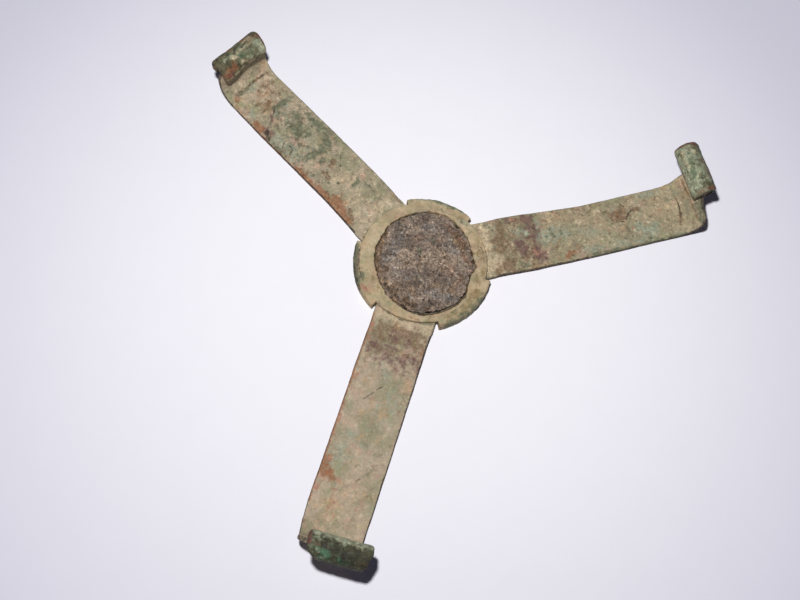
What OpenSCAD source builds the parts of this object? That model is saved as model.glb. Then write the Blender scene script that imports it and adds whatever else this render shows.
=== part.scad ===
// Burner stand: strip arms clamped in a notched hub ring, with a slit-tube sleeve on each upturned end.
// Millimetres, +Z up. The origin is on the hub axis, in the plane of the table that the stand lies on.

/* [Strip arms] */
// Width of each strip
strip_w = 16; // [12:0.5:19]
// Thickness of the strip
strip_t = 1.2; // [0.8:0.1:1.8]
// Distance from the hub axis to the middle of an upturned end that stands upright
arm_reach = 74.6; // [60:0.2:110]
// Inside radius of the upward bend
bend_r = 4.2; // [2:0.2:5]
// Length of strip in each upturned end, with its bend
upturn_l = 13.6; // [12:0.2:20]
// Corner radius at the top of each upturned end
riser_corner_r = 5.4; // [0.6:0.2:5.8]
// Outward lean of the front arm's upturned end
front_lean = 4; // [0:1:20]
// Outward lean of the right arm's upturned end
right_lean = 13; // [0:1:20]
// Outward lean of the left arm's upturned end
left_lean = 2; // [0:1:20]
// Length of each arm that lies flat on the table before its bend
foot_l = 10; // [6:1:20]
// Angle by which the right arm stands off its even third of the circle
right_skew = 2; // [-3:0.5:3]

/* [Hub ring] */
// Diameter of the ring's flat top, where the arms come out from under it
flat_d = 33.6; // [31:0.2:44]
// Diameter of the bore that holds the core
bore_d = 27.6; // [24:0.2:29.4]
// Thickness of the ring over the arms
cover_t = 1.2; // [0.8:0.1:2.5]
// Radial width of the rim outside the flat top
rim_w = 1.5; // [1:0.1:1.9]
// Radius of the rim's outer edge
rim_edge_r = 0.6; // [0.2:0.1:1]
// Step down from the flat top to the rim
rim_step = 0.1; // [0.05:0.05:0.4]
// Radial lap of the rim under the flat top
rim_lap = 0.6; // [0.3:0.1:1]
// Angle that the rim stays clear of each side of an arm
rim_spare = 1.7; // [0.5:0.1:8]

/* [Base ring] */
// Thickness of the ring under the arms
base_t = 1; // [0.6:0.1:2]
// Radial width of the ring under the arms
base_w = 2.35; // [1:0.05:4]

/* [Core] */
// Height of the core's crown above the ring
core_crown = 0.5; // [0.1:0.1:1.5]
// Radial width of the worn slope round the core's top
core_slope_w = 1.6; // [0.5:0.1:4]
// Drop of that slope, from the crown to the core's edge
core_slope_h = 0.7; // [0.2:0.1:1.2]

/* [Tip sleeves] */
// Outside diameter of a sleeve
sleeve_d = 6; // [5.6:0.1:9]
// Wall of a sleeve
sleeve_wall = 0.6; // [0.4:0.1:1.2]
// Length of a sleeve
sleeve_l = 14.5; // [8:0.5:20]
// Depth of the upturned end inside its sleeve
sleeve_grip = 2.6; // [1.6:0.1:3.2]
// Sideways place of the front sleeve, from the middle of its arm
front_slide = 3.2; // [-8:0.1:8]
// Sideways place of the right sleeve
right_slide = 6.2; // [-8:0.1:8]
// Sideways place of the left sleeve
left_slide = 0.2; // [-8:0.1:8]

/* [Fits] */
// Gap on each side of an arm in its channel
channel_gap = 0.1; // [0.05:0.05:0.4]
// Gap round the base ring inside the rim segments
base_gap = 0.05; // [0.02:0.01:0.3]
// Gap round the core in both rings
core_gap = 0.15; // [0.05:0.05:0.6]
// Gap between an arm's inner end and the bore
tongue_gap = 0.2; // [0.1:0.05:0.6]
// Gap between an upturned end and each lip of its sleeve
lip_gap = 0.06; // [0.03:0.01:0.2]

/* [Hidden] */
$fn = 96;

// Direction of each arm about the hub axis
arm_count = 3;
arm_step = 360 / arm_count;
front_angle = 270;
right_angle = front_angle + arm_step + right_skew;
left_angle = front_angle + 2 * arm_step;
arm_angles = [front_angle, right_angle, left_angle];

// Radii of the hub
flat_r = flat_d / 2;
rim_r = flat_r + rim_w;
seat_r = flat_r - rim_lap;
base_r = seat_r - base_gap;
base_bore_r = base_r - base_w;
bore_r = bore_d / 2;
hub_h = base_t + strip_t + cover_t;
channel_w = strip_w + 2 * channel_gap;
rim_gap = asin(channel_w / 2 / flat_r) + rim_spare;

// Stations along an arm, outward from the hub axis
bend_start = arm_reach - strip_t / 2 - bend_r;
ramp_start = rim_r + strip_t;
ramp_end = bend_start - foot_l;
ramp_steps = 12;

// Bend of an upturned end: height of its centre, and radius at the middle of the strip
bend_z = strip_t + bend_r;
bend_mid_r = bend_r + strip_t / 2;
bend_steps = 16;

// Sleeve, with the slit that its upturned end passes through
sleeve_r = sleeve_d / 2;
slit_w = strip_t + 2 * lip_gap;
lip_drop = sleeve_r - sqrt(sleeve_r * sleeve_r - slit_w * slit_w / 4);

// Room for a cut to pass a face
over = 1;

bronze = "darkkhaki";
patina = "darkseagreen";
rust = "rosybrown";

// Height of a strip's underside: on the base ring at the hub, eased down to the table further out
function ease(s) = s * s * (3 - 2 * s);
function underside(u) = base_t * (1 - ease((u - ramp_start) / (ramp_end - ramp_start)));

// Straight length left above the bend of an upturned end
function riser_l(lean) = upturn_l - (90 - lean) * PI / 180 * bend_mid_r;

// Place at the centre of an arm's bend, with local Z along the straight length above the bend
module at_upturn(lean) {
    translate([bend_start, 0, bend_z]) rotate([0, lean, 0]) children();
}

// Points round an arm's bend, from the table to the start of the straight length
function bend_points(r, lean) = [for (i = [0 : bend_steps]) let (a = (90 - lean) * i / bend_steps - 90)
    [bend_start + r * cos(a), bend_z + r * sin(a)]];

// Side view of a strip, from the hub axis out to its upturned end
module strip_outline(lean) {
    stations = [for (i = [0 : ramp_steps]) ramp_start + (ramp_end - ramp_start) * i / ramp_steps];
    riser = riser_l(lean) * [sin(lean), cos(lean)];
    outer_bend = bend_points(bend_r + strip_t, lean);
    inner_bend = bend_points(bend_r, lean);
    polygon(concat(
        [[0, base_t]],
        [for (u = stations) [u, underside(u)]],
        outer_bend,
        [outer_bend[bend_steps] + riser, inner_bend[bend_steps] + riser],
        [for (i = [bend_steps : -1 : 0]) inner_bend[i]],
        [for (i = [ramp_steps : -1 : 0]) [stations[i], underside(stations[i]) + strip_t]],
        [[0, base_t + strip_t]]));
}

// What comes off both top corners of an upturned end, as seen square on
module corner_waste(lean) {
    corner_r = min(riser_corner_r, riser_l(lean));
    for (side = [-1, 1])
        translate([side * (strip_w / 2 - corner_r), riser_l(lean) - corner_r])
            difference() {
                translate([side > 0 ? 0 : -corner_r - over, 0]) square(corner_r + over);
                circle(corner_r);
            }
}

// One arm: a strip that lies in the hub's channel, runs down to the table and turns up at its end
module strip_arm(angle, lean) {
    color(bronze) rotate(angle) difference() {
        rotate([90, 0, 0]) linear_extrude(strip_w, center = true) strip_outline(lean);
        translate([0, 0, -over]) cylinder(r = bore_r + tongue_gap, h = hub_h + 2 * over);
        at_upturn(lean) translate([bend_r - over, 0, 0]) rotate([90, 0, 90])
            linear_extrude(strip_t + 2 * over) corner_waste(lean);
    }
}

// Half section through a rim segment: round the base ring, lapped under the flat top, with a rounded edge
module rim_section() {
    top_z = hub_h - rim_step;
    edge_z = top_z - rim_edge_r;
    translate([seat_r, 0]) square([rim_w + rim_lap, edge_z]);
    translate([seat_r, 0]) square([rim_w + rim_lap - rim_edge_r, top_z]);
    translate([rim_r - rim_edge_r, edge_z]) circle(rim_edge_r);
}

// Rim segments, one in each space between two arms
module rim_segments() {
    for (i = [0 : arm_count - 1]) {
        next_angle = arm_angles[(i + 1) % arm_count] + (i == arm_count - 1 ? 360 : 0);
        rotate(arm_angles[i] + rim_gap)
            rotate_extrude(angle = next_angle - arm_angles[i] - 2 * rim_gap) rim_section();
    }
}

// Top ring: flat over the arms, with a channel under it for each arm, and a rim round the base ring
module hub_ring() {
    color(bronze) difference() {
        union() {
            translate([0, 0, base_t]) cylinder(r = flat_r, h = hub_h - base_t);
            rim_segments();
        }
        translate([0, 0, -over]) cylinder(r = bore_r, h = hub_h + 2 * over);
        for (angle = arm_angles) rotate(angle)
            translate([0, -channel_w / 2, -over]) cube([rim_r, channel_w, over + base_t + strip_t]);
    }
}

// Flat ring under the arms' inner ends
module base_ring() {
    color(bronze) difference() {
        cylinder(r = base_r, h = base_t);
        translate([0, 0, -over]) cylinder(r = base_bore_r, h = base_t + 2 * over);
    }
}

// Rusted stub that fills both rings, worn to a low crown
module core_plug() {
    core_r = bore_r - core_gap;
    crown_z = hub_h + core_crown;
    color(rust) rotate_extrude() {
        square([base_bore_r - core_gap, base_t]);
        polygon([[0, base_t], [core_r, base_t], [core_r, crown_z - core_slope_h],
                 [core_r - core_slope_w, crown_z], [0, crown_z]]);
    }
}

// Tube with a slit along its underside, pushed down over an upturned end
module tip_sleeve(angle, lean, slide) {
    rise = riser_l(lean) - sleeve_grip + sleeve_r - lip_drop;
    color(patina) rotate(angle) at_upturn(lean) translate([bend_mid_r, slide, rise]) difference() {
        rotate([90, 0, 0]) cylinder(r = sleeve_r, h = sleeve_l, center = true);
        rotate([90, 0, 0]) cylinder(r = sleeve_r - sleeve_wall, h = sleeve_l + 2 * over, center = true);
        translate([-slit_w / 2, -sleeve_l / 2 - over, -sleeve_r - over])
            cube([slit_w, sleeve_l + 2 * over, sleeve_r + over]);
    }
}

hub_ring();
base_ring();
core_plug();
strip_arm(front_angle, front_lean);  // front_arm
strip_arm(right_angle, right_lean);  // right_arm
strip_arm(left_angle, left_lean);  // left_arm
tip_sleeve(front_angle, front_lean, front_slide);  // front_sleeve
tip_sleeve(right_angle, right_lean, right_slide);  // right_sleeve
tip_sleeve(left_angle, left_lean, left_slide);  // left_sleeve
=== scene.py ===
"""Looks of the burner stand, built round its packed solids.

Every piece is a dense mesh with its own dents, crust and worn edges. Deposits such as rust, soil and
verdigris are laid on with strokes, each in millimetres on the piece itself, and the materials break
their edges up with noise.
"""

import math

import bmesh
import bpy
import numpy as np
from bpy.props import FloatProperty, FloatVectorProperty, PointerProperty
from mathutils import Matrix, Vector, noise


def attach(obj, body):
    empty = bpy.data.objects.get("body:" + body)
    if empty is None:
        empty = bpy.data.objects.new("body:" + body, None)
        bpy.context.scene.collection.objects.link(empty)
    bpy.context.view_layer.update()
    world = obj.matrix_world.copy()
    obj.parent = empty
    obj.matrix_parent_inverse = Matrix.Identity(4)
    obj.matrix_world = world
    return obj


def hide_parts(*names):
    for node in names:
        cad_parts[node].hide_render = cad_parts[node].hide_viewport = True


bl_info = {
    "name": "Burner Stand",
    "version": (1, 0, 0),
    "blender": (4, 5, 0),
    "location": "3D View > Sidebar > Burner Stand",
    "description": "Builds an old three-armed burner stand on its packed solids",
    "category": "Object",
}

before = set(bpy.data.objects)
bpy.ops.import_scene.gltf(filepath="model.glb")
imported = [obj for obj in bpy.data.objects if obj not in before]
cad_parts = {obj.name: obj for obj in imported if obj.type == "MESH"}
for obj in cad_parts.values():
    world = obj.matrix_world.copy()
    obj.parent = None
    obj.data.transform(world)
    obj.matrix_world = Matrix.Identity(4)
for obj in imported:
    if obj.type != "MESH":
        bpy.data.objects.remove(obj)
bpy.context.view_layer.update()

# Lengths are written in millimetres and angles in degrees, unless a comment says otherwise
MM = 0.001

# Each arm: direction about the hub axis, outward lean of its upturned end, place of its sleeve, and strength
# of the grit in its soil
ARMS = {
    "front": {"turn": 270.0, "lean": 4.0, "slide": 3.2, "grit": 0.44},
    "right": {"turn": 32.0, "lean": 13.0, "slide": 6.2, "grit": 0.85},
    "left": {"turn": 150.0, "lean": 2.0, "slide": 0.2, "grit": 0.8},
}

# Wear of each strip: distance along it from the hub axis, sideways bow, change of its half width
STRIP_WEAR = {
    "front": (
        (18, 0.0, 0.0), (22, -0.15, -0.05), (45, -0.1, -0.05), (66, -0.05, -0.1), (71, 0.1, -0.25),
        (75, 0.4, -0.55), (83, 0.5, -0.65),
    ),
    "right": (
        (18, 0.0, 0.0), (22, 0.12, 0.2), (30, -0.1, 0.2), (38, -0.3, -0.1), (46, -0.4, -0.25),
        (60, 0.0, -0.2), (71, 0.3, -0.1), (74, 0.25, -0.05), (76, 0.15, 0.05), (78, 0.0, 0.1),
        (79.3, -0.1, 0.1), (80.5, 0.35, -0.35), (81.2, 1.3, -1.3), (81.5, 2.0, -2.0), (82.1, 2.5, -2.5),
        (82.8, 2.5, -2.5), (83.4, 1.4, -1.4),
    ),
    "left": (
        (18, 0.0, 0.0), (22, -0.25, 0.05), (30, -0.4, 0.0), (45, -0.35, 0.15), (60, -0.05, 0.15),
        (72, 0.05, 0.05),
    ),
}

# Wear of each sleeve: its turn in plan, growth of its radius along it, thickness of its crust, for its
# two ends how far each stands out, its slant and how far it runs back under the crown and at the outer
# corner, and how far its inner lip stands off at its far end
SLEEVE_WEAR = {
    "front": {
        "twist": 3.0,
        "flare": 0.0,
        "crust": 0.0,
        "grow": (0.0, 0.0),
        "slant": (0.13, -0.15),
        "undercut": (0.5, 0.5),
        "corner": (1.6, 0.4),
        "splay": 0.0,
    },
    "right": {
        "twist": 0.0,
        "flare": 0.0,
        "crust": 0.26,
        "grow": (0.55, 0.0),
        "slant": (0.07, 0.0),
        "undercut": (0.2, 0.2),
        "corner": (0.3, 0.0),
        "splay": 0.0,
    },
    "left": {
        "twist": 0.0,
        "flare": -0.06,
        "crust": 0.0,
        "grow": (0.1, 0.45),
        "slant": (0.0, 0.0),
        "undercut": (0.3, 0.3),
        "corner": (0.0, 0.0),
        "splay": 1.7,
    },
}

# Deposits that can lie on a piece, from the lowest to the topmost; the last one is grime and also painted
# shade
DEPOSITS = ("pale", "umber", "plum", "mint", "green", "rust", "red", "grime_and_shade")

# Strokes on each arm: deposit, radius, strength, then points (distance from the hub axis, place across)
ARM_STROKES = {
    "front": (
        ("pale", 1.7, 0.62, (16.8, -6.5), (17.0, 6.5)),
        ("umber", 2.0, 0.36, (30.6, 5.0), (30.4, -5.0)),
        ("umber", 4.4, 0.62, (22.0, 6.4), (21.8, -4.6)),
        ("umber", 3.6, 0.56, (25.6, 6.4), (25.2, -6.0)),
        ("umber", 0.8, 0.85, (19.7, 6.2), (19.5, 1.0), (19.9, -4.4)),
        ("plum", 3.8, 0.56, (27.4, 6.0), (27.0, -3.8)),
        ("plum", 2.4, 0.5, (22.0, 3.0), (21.6, -1.0)),
        ("plum", 1.8, 0.5, (27.4, -3.8), (25.0, -6.0)),
        ("pale", 0.4, 0.9, (21.4, -1.6)),
        ("mint", 6.0, 0.34, (42.0, 1.0), (54.0, 0.0)),
        ("mint", 3.4, 0.46, (37.0, 3.4), (43.0, 4.4)),
        ("mint", 3.0, 0.48, (48.0, -2.4), (55.0, -4.2)),
        ("mint", 2.0, 0.44, (30.4, -1.0), (33.0, 1.0)),
        ("red", 2.2, 0.36, (61.0, -3.0), (66.0, -1.0)),
        ("red", 1.6, 0.36, (60.0, 4.8), (65.0, 4.2)),
        ("grime_and_shade", 0.2, 0.8, (35.0, 0.2), (36.2, -0.8)),
        ("grime_and_shade", 0.16, 0.6, (36.2, -0.8), (39.4, -3.2)),
        ("red", 0.6, 0.75, (41.5, 3.6)),
        ("red", 2.4, 0.3, (44.0, 0.2), (46.0, -4.0)),
        ("green", 2.4, 0.42, (52.0, 4.4), (55.5, 3.8)),
        ("umber", 0.35, 0.75, (57.8, 2.1), (58.6, 1.5)),
        ("red", 0.8, 0.95, (59.6, -2.5)),
        ("rust", 0.8, 0.8, (59.4, -4.0), (59.2, -5.0)),
        ("rust", 1.5, 0.95, (58.8, -5.6), (58.4, -6.6)),
        ("rust", 0.8, 0.8, (54.8, -6.4), (57.0, -6.7)),
        ("red", 0.7, 0.7, (55.5, -6.2)),
        ("red", 0.9, 0.7, (62.6, -6.9)),
        ("rust", 0.42, 0.95, (17.5, -7.8), (66.0, -7.8)),
        ("red", 0.8, 0.5, (18.0, -7.2), (24.0, -7.0)),
        ("red", 0.9, 0.56, (33.2, -6.8), (34.8, -7.0)),
        ("red", 0.7, 0.5, (41.0, -7.2), (50.0, -7.2)),
        ("red", 0.5, 0.5, (22.0, 7.2), (30.0, 7.2)),
        ("pale", 4.2, 0.42, (66.0, -1.0), (70.0, 0.0)),
        ("red", 0.9, 0.45, (62.0, 4.0)),
        ("red", 1.2, 0.4, (64.6, 0.6), (66.0, -2.0)),
        ("umber", 1.6, 0.4, (34.0, 6.0), (40.0, 6.6)),
        ("umber", 0.5, 0.7, (70.6, -6.8), (71.8, -7.6)),
        ("pale", 1.4, 0.8, (80.0, -6.6), (82.0, -4.6)),
    ),
    "right": (
        ("pale", 2.2, 0.58, (17.4, -6.0), (17.6, 7.0)),
        ("umber", 2.6, 0.46, (34.6, 4.6), (37.0, -2.0), (35.6, -5.6)),
        ("umber", 1.6, 0.42, (38.0, 6.4), (54.0, 6.2), (66.0, 6.8)),
        ("pale", 1.4, 0.95, (19.8, -3.0), (19.2, -4.6)),
        ("pale", 0.8, 0.8, (23.6, 0.4), (24.2, -0.8)),
        ("umber", 1.0, 0.95, (20.6, 1.4), (21.4, 0.2), (22.2, 0.6)),
        ("umber", 0.6, 0.8, (20.2, -0.6), (20.8, -1.8)),
        ("umber", 0.9, 0.85, (22.6, -4.4), (20.2, -6.2), (18.4, -7.2)),
        ("umber", 4.4, 0.64, (23.0, 5.5), (23.6, -5.5)),
        ("umber", 4.2, 0.6, (29.0, 6.5), (29.4, -6.5)),
        ("plum", 2.0, 0.8, (26.8, -0.6), (27.4, -3.0)),
        ("plum", 2.2, 0.78, (30.8, 6.4), (31.6, 1.0)),
        ("plum", 2.0, 0.68, (30.8, -2.6), (31.6, -5.6)),
        ("plum", 2.0, 0.5, (25.6, 7.0), (29.0, 6.2)),
        ("plum", 4.2, 0.38, (28.5, 3.0), (29.0, -4.0)),
        ("mint", 1.8, 0.6, (27.0, 3.0), (29.0, 2.2)),
        ("mint", 1.4, 0.5, (33.0, 5.4), (33.6, 1.0)),
        ("green", 1.5, 0.5, (29.8, 5.0), (28.6, 3.6)),
        ("green", 1.3, 0.46, (24.6, -6.6), (28.0, -6.9)),
        ("green", 1.2, 0.44, (32.6, -1.0), (33.6, 2.4)),
        ("red", 0.9, 0.6, (26.6, 6.9)),
        ("red", 1.2, 0.62, (30.4, -3.6)),
        ("red", 0.9, 0.5, (33.8, 3.2)),
        ("pale", 0.7, 0.8, (29.2, -1.8), (29.6, -2.6)),
        ("mint", 2.8, 0.66, (34.0, 0.4), (39.0, 0.2)),
        ("mint", 2.4, 0.5, (44.0, -6.0), (53.0, -6.0)),
        ("mint", 2.2, 0.44, (44.0, 0.0), (50.0, -1.6)),
        ("umber", 3.0, 0.42, (46.0, 4.6), (53.0, 3.0)),
        ("red", 2.0, 0.34, (64.0, 1.0), (69.0, 1.4)),
        ("green", 0.45, 0.95, (36.2, 1.0), (36.5, -0.4)),
        ("green", 0.4, 0.95, (38.7, 1.2), (38.8, 0.0)),
        ("green", 0.4, 0.9, (38.9, -1.3)),
        ("green", 0.45, 0.85, (35.8, 2.1)),
        ("green", 0.4, 0.8, (34.4, 0.2)),
        ("pale", 1.0, 0.7, (44.2, 2.8), (45.6, 2.5)),
        ("pale", 0.5, 0.85, (49.6, 4.7), (51.2, 4.4)),
        ("pale", 0.8, 0.6, (46.5, 3.6)),
        ("rust", 1.1, 0.7, (38.6, -6.2), (40.6, -5.7)),
        ("red", 0.6, 0.6, (36.0, -6.4)),
        ("umber", 2.0, 0.42, (38.0, -3.6), (43.0, -4.6)),
        ("umber", 1.7, 0.85, (55.2, 1.8), (57.8, 3.4)),
        ("umber", 0.9, 0.8, (57.0, 1.0), (58.8, 1.6)),
        ("rust", 1.0, 0.5, (56.0, 2.2), (58.0, 3.0)),
        ("umber", 0.6, 0.85, (60.4, 2.9), (62.4, 3.0)),
        ("grime_and_shade", 0.18, 0.75, (53.4, 0.1), (56.0, 0.4), (57.6, -0.1)),
        ("grime_and_shade", 0.26, 0.8, (58.0, 0.6), (59.4, 2.2), (61.2, 3.2)),
        ("grime_and_shade", 0.26, 0.8, (58.0, 5.2), (58.8, 4.4)),
        ("red", 0.6, 0.8, (59.1, -2.2)),
        ("pale", 0.5, 0.9, (59.4, -3.2)),
        ("red", 1.0, 0.5, (67.5, -3.5)),
        ("mint", 2.6, 0.62, (60.6, -2.4), (65.0, -4.0)),
        ("mint", 1.5, 0.6, (64.0, 6.4), (70.0, 6.6)),
        ("mint", 1.4, 0.6, (53.5, -5.8), (60.0, -6.4)),
        ("green", 0.6, 0.66, (44.0, -7.5), (73.0, -7.3)),
        ("green", 0.7, 0.62, (62.4, -6.0), (64.4, -6.4)),
        ("green", 2.0, 0.4, (68.0, 4.6), (73.0, 4.0)),
        ("umber", 2.8, 0.38, (69.0, 1.0), (72.0, -1.0)),
        # The next two strokes: a dark line across the bend, painted shade in the crease
        ("umber", 0.5, 0.7, (74.2, 3.6), (74.3, 1.0), (73.6, -2.0), (72.6, -4.4)),
        ("grime_and_shade", 0.24, 0.72, (74.3, 2.4), (74.2, 0.0), (73.4, -2.4)),
        # Dark line along the sleeve's inner lip: painted shadow of the lip
        ("umber", 0.5, 0.75, (78.6, 6.0), (79.0, 0.0), (78.6, -6.0)),
        # Painted shade, in green, on the upturned end's corner, which faces away from the lamp
        ("green", 2.0, 0.6, (80.0, -6.5), (81.5, -2.0)),
        ("rust", 2.6, 0.3, (76.5, 1.0), (76.0, -5.0)),
    ),
    "left": (
        ("pale", 3.4, 0.5, (18.8, -6.0), (19.2, 4.0)),
        ("red", 2.0, 0.3, (20.0, -2.6), (20.6, -0.6)),
        ("pale", 3.0, 0.6, (30.6, -2.0), (33.0, 0.5)),
        ("pale", 2.4, 0.5, (22.0, 3.0), (26.0, -1.0)),
        ("pale", 1.8, 0.42, (24.5, 2.0), (27.0, 0.0)),
        ("rust", 2.2, 0.9, (26.0, 6.4), (28.2, 5.6)),
        ("rust", 1.3, 0.95, (22.0, 7.3), (34.0, 7.1)),
        ("umber", 1.6, 0.5, (40.0, 6.8), (56.0, 6.6)),
        ("rust", 1.0, 0.85, (34.0, 7.3), (43.0, 7.5)),
        ("red", 1.0, 0.5, (33.0, 6.4), (38.0, 6.8)),
        ("umber", 0.8, 0.85, (20.8, 6.6), (22.4, 5.6), (23.6, 5.0)),
        ("green", 0.7, 0.62, (24.2, 4.4)),
        ("green", 0.5, 0.95, (25.8, -4.2), (26.3, -4.0)),
        ("green", 0.8, 0.8, (28.8, -1.2), (29.0, -2.8)),
        ("green", 0.5, 0.9, (32.2, 1.7)),
        ("grime_and_shade", 0.4, 0.66, (28.8, -2.2)),
        ("grime_and_shade", 0.35, 0.72, (26.0, -4.2)),
        ("grime_and_shade", 0.35, 0.6, (32.2, 1.6)),
        ("green", 0.45, 0.8, (33.8, 3.6)),
        ("umber", 0.9, 0.75, (35.0, 2.9), (36.8, 2.3)),
        ("grime_and_shade", 0.3, 0.7, (35.0, -1.8), (36.2, -2.5)),
        ("umber", 1.1, 0.75, (37.6, -0.4), (38.2, -1.8)),
        ("grime_and_shade", 0.3, 0.7, (37.4, -3.8), (38.4, -4.8)),
        ("green", 1.4, 0.55, (38.4, 5.0)),
        ("green", 0.8, 0.8, (40.0, 0.9), (40.6, -0.2)),
        ("green", 1.3, 0.95, (43.8, 3.2), (43.0, -1.6)),
        ("green", 1.8, 0.55, (43.6, 4.0), (45.4, 4.2)),
        ("green", 2.0, 0.72, (42.2, -2.6), (44.6, -5.0)),
        ("umber", 1.4, 0.4, (41.8, -5.0), (42.6, -6.6)),
        ("green", 3.4, 0.66, (51.0, -0.8), (54.4, -2.6)),
        ("umber", 2.4, 0.5, (52.0, -1.0), (54.6, -2.4)),
        ("green", 0.9, 0.8, (50.6, -4.8), (50.9, -7.2)),
        ("green", 2.8, 0.58, (44.0, -6.0), (56.0, -6.2)),
        ("green", 3.6, 0.46, (47.0, 1.6), (59.0, 1.0)),
        ("umber", 4.0, 0.42, (50.0, -1.0), (58.0, -3.0)),
        ("rust", 3.4, 0.3, (64.0, -1.0), (69.0, 1.0)),
        ("umber", 3.0, 0.4, (63.0, -4.0), (69.0, -5.0)),
        ("red", 3.0, 0.26, (63.0, -4.0), (69.0, -4.0)),
        ("mint", 2.8, 0.62, (46.0, 4.6), (53.0, 5.2)),
        ("mint", 3.6, 0.42, (45.0, 0.0), (60.0, -4.0)),
        ("pale", 0.9, 0.6, (47.4, 4.6), (48.6, 6.0)),
        ("pale", 1.0, 0.5, (59.4, -4.6), (59.8, -6.0)),
        ("grime_and_shade", 0.24, 0.85, (47.6, 5.8), (48.2, 4.2), (49.6, 4.0)),
        ("grime_and_shade", 0.24, 0.8, (50.2, 6.2), (51.4, 4.8), (51.8, 3.8)),
        ("green", 0.9, 0.62, (49.0, 7.3), (55.0, 7.0)),
        ("grime_and_shade", 0.9, 0.66, (55.4, 7.2), (57.2, 5.8)),
        ("plum", 1.5, 0.72, (56.4, 5.4), (58.4, 6.4)),
        ("rust", 1.0, 0.95, (58.6, 6.9), (61.0, 6.5)),
        ("plum", 0.8, 0.5, (57.6, 5.0), (59.6, 2.4), (61.4, -0.2)),
        ("grime_and_shade", 0.3, 0.6, (58.2, 4.4), (59.8, 2.2), (61.6, -0.4)),
        ("mint", 0.7, 0.85, (59.8, 1.0), (60.8, 0.0)),
        ("green", 1.2, 0.9, (62.0, -0.6), (61.6, -5.4)),
        ("umber", 0.9, 0.6, (55.8, 3.2), (56.8, 2.8)),
        ("mint", 1.8, 0.5, (63.6, 5.6), (66.0, 4.8)),
        ("umber", 3.6, 0.52, (64.0, 1.0), (69.0, -3.4)),
        ("rust", 1.2, 0.62, (70.2, 5.8), (71.4, 5.4)),
        ("mint", 1.5, 0.6, (70.4, 2.0), (71.0, -0.6)),
        ("green", 0.7, 0.75, (71.4, 3.8), (71.8, 1.2)),
        # The next two strokes: a dark line across the bend, painted shade where the upturned end rises
        ("umber", 0.8, 0.6, (71.9, 4.8), (72.3, 1.0), (72.4, -3.0), (72.6, -6.6)),
        ("grime_and_shade", 0.45, 0.5, (72.0, 4.4), (72.3, 1.0), (72.4, -3.0), (72.6, -6.2)),
        ("rust", 3.6, 0.32, (66.5, -2.5), (70.0, 2.0)),
        ("green", 3.0, 0.36, (24.0, -3.0), (30.0, -5.0)),
        ("rust", 0.4, 0.8, (43.0, 7.8), (62.0, 7.8)),
    ),
}

# Strokes on the hub ring: points are (x, y)
HUB_STROKES = (
    ("green", 1.1, 0.9, (-17.9, -1.6), (-17.8, -4.0), (-16.8, -7.0)),
    ("green", 0.9, 0.72, (-16.6, -7.0), (-14.4, -11.0)),
    ("plum", 0.8, 0.8, (-17.0, -3.0), (-16.2, -7.4), (-14.8, -10.2)),
    ("grime_and_shade", 0.5, 0.7, (-18.2, -1.0), (-17.6, -5.0), (-15.8, -9.4), (-13.6, -12.4)),
    ("red", 0.6, 0.75, (-13.2, -11.6), (-11.8, -12.4)),
    ("green", 0.8, 0.75, (-13.9, -8.6), (-13.5, -9.6)),
    ("umber", 1.6, 0.45, (-12.0, -9.4), (-7.0, -13.6)),
    ("mint", 1.2, 0.55, (7.0, 14.4), (9.6, 13.2)),
    ("mint", 1.0, 0.6, (-6.0, 17.2), (0.0, 18.0), (6.0, 17.2)),
    ("green", 0.6, 0.66, (-5.0, 18.0), (7.0, 17.0)),
    ("green", 0.9, 0.5, (-1.0, 15.4), (4.0, 15.4), (9.4, 12.2)),
    ("umber", 1.0, 0.5, (2.0, 16.4), (8.0, 14.6)),
    ("green", 1.2, 0.66, (17.6, -4.0), (15.8, -9.0), (11.0, -14.8)),
    ("umber", 1.6, 0.66, (15.6, -4.0), (13.8, -9.0), (10.0, -12.8)),
    ("plum", 0.9, 0.5, (13.2, -13.0), (10.0, -15.8)),
    ("green", 1.0, 0.5, (13.0, -8.6), (10.4, -11.8)),
    ("umber", 0.4, 0.85, (15.6, 2.2), (15.9, 1.7)),
    ("red", 0.6, 0.45, (15.8, -1.4)),
    ("umber", 2.4, 0.5, (15.6, 0.0), (15.0, 5.0), (12.4, 9.6)),
    ("grime_and_shade", 0.16, 0.6, (15.5, 4.0), (14.2, 7.4), (11.6, 11.0)),
    ("rust", 0.7, 0.5, (1.6, -15.8), (3.4, -15.9)),
    ("umber", 0.9, 0.6, (6.0, -15.4), (7.4, -16.2)),
    ("rust", 2.2, 0.28, (-5.0, -15.0), (3.0, -16.0)),
    ("pale", 1.6, 0.5, (-15.0, 4.0), (-14.4, -3.0)),
)

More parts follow.
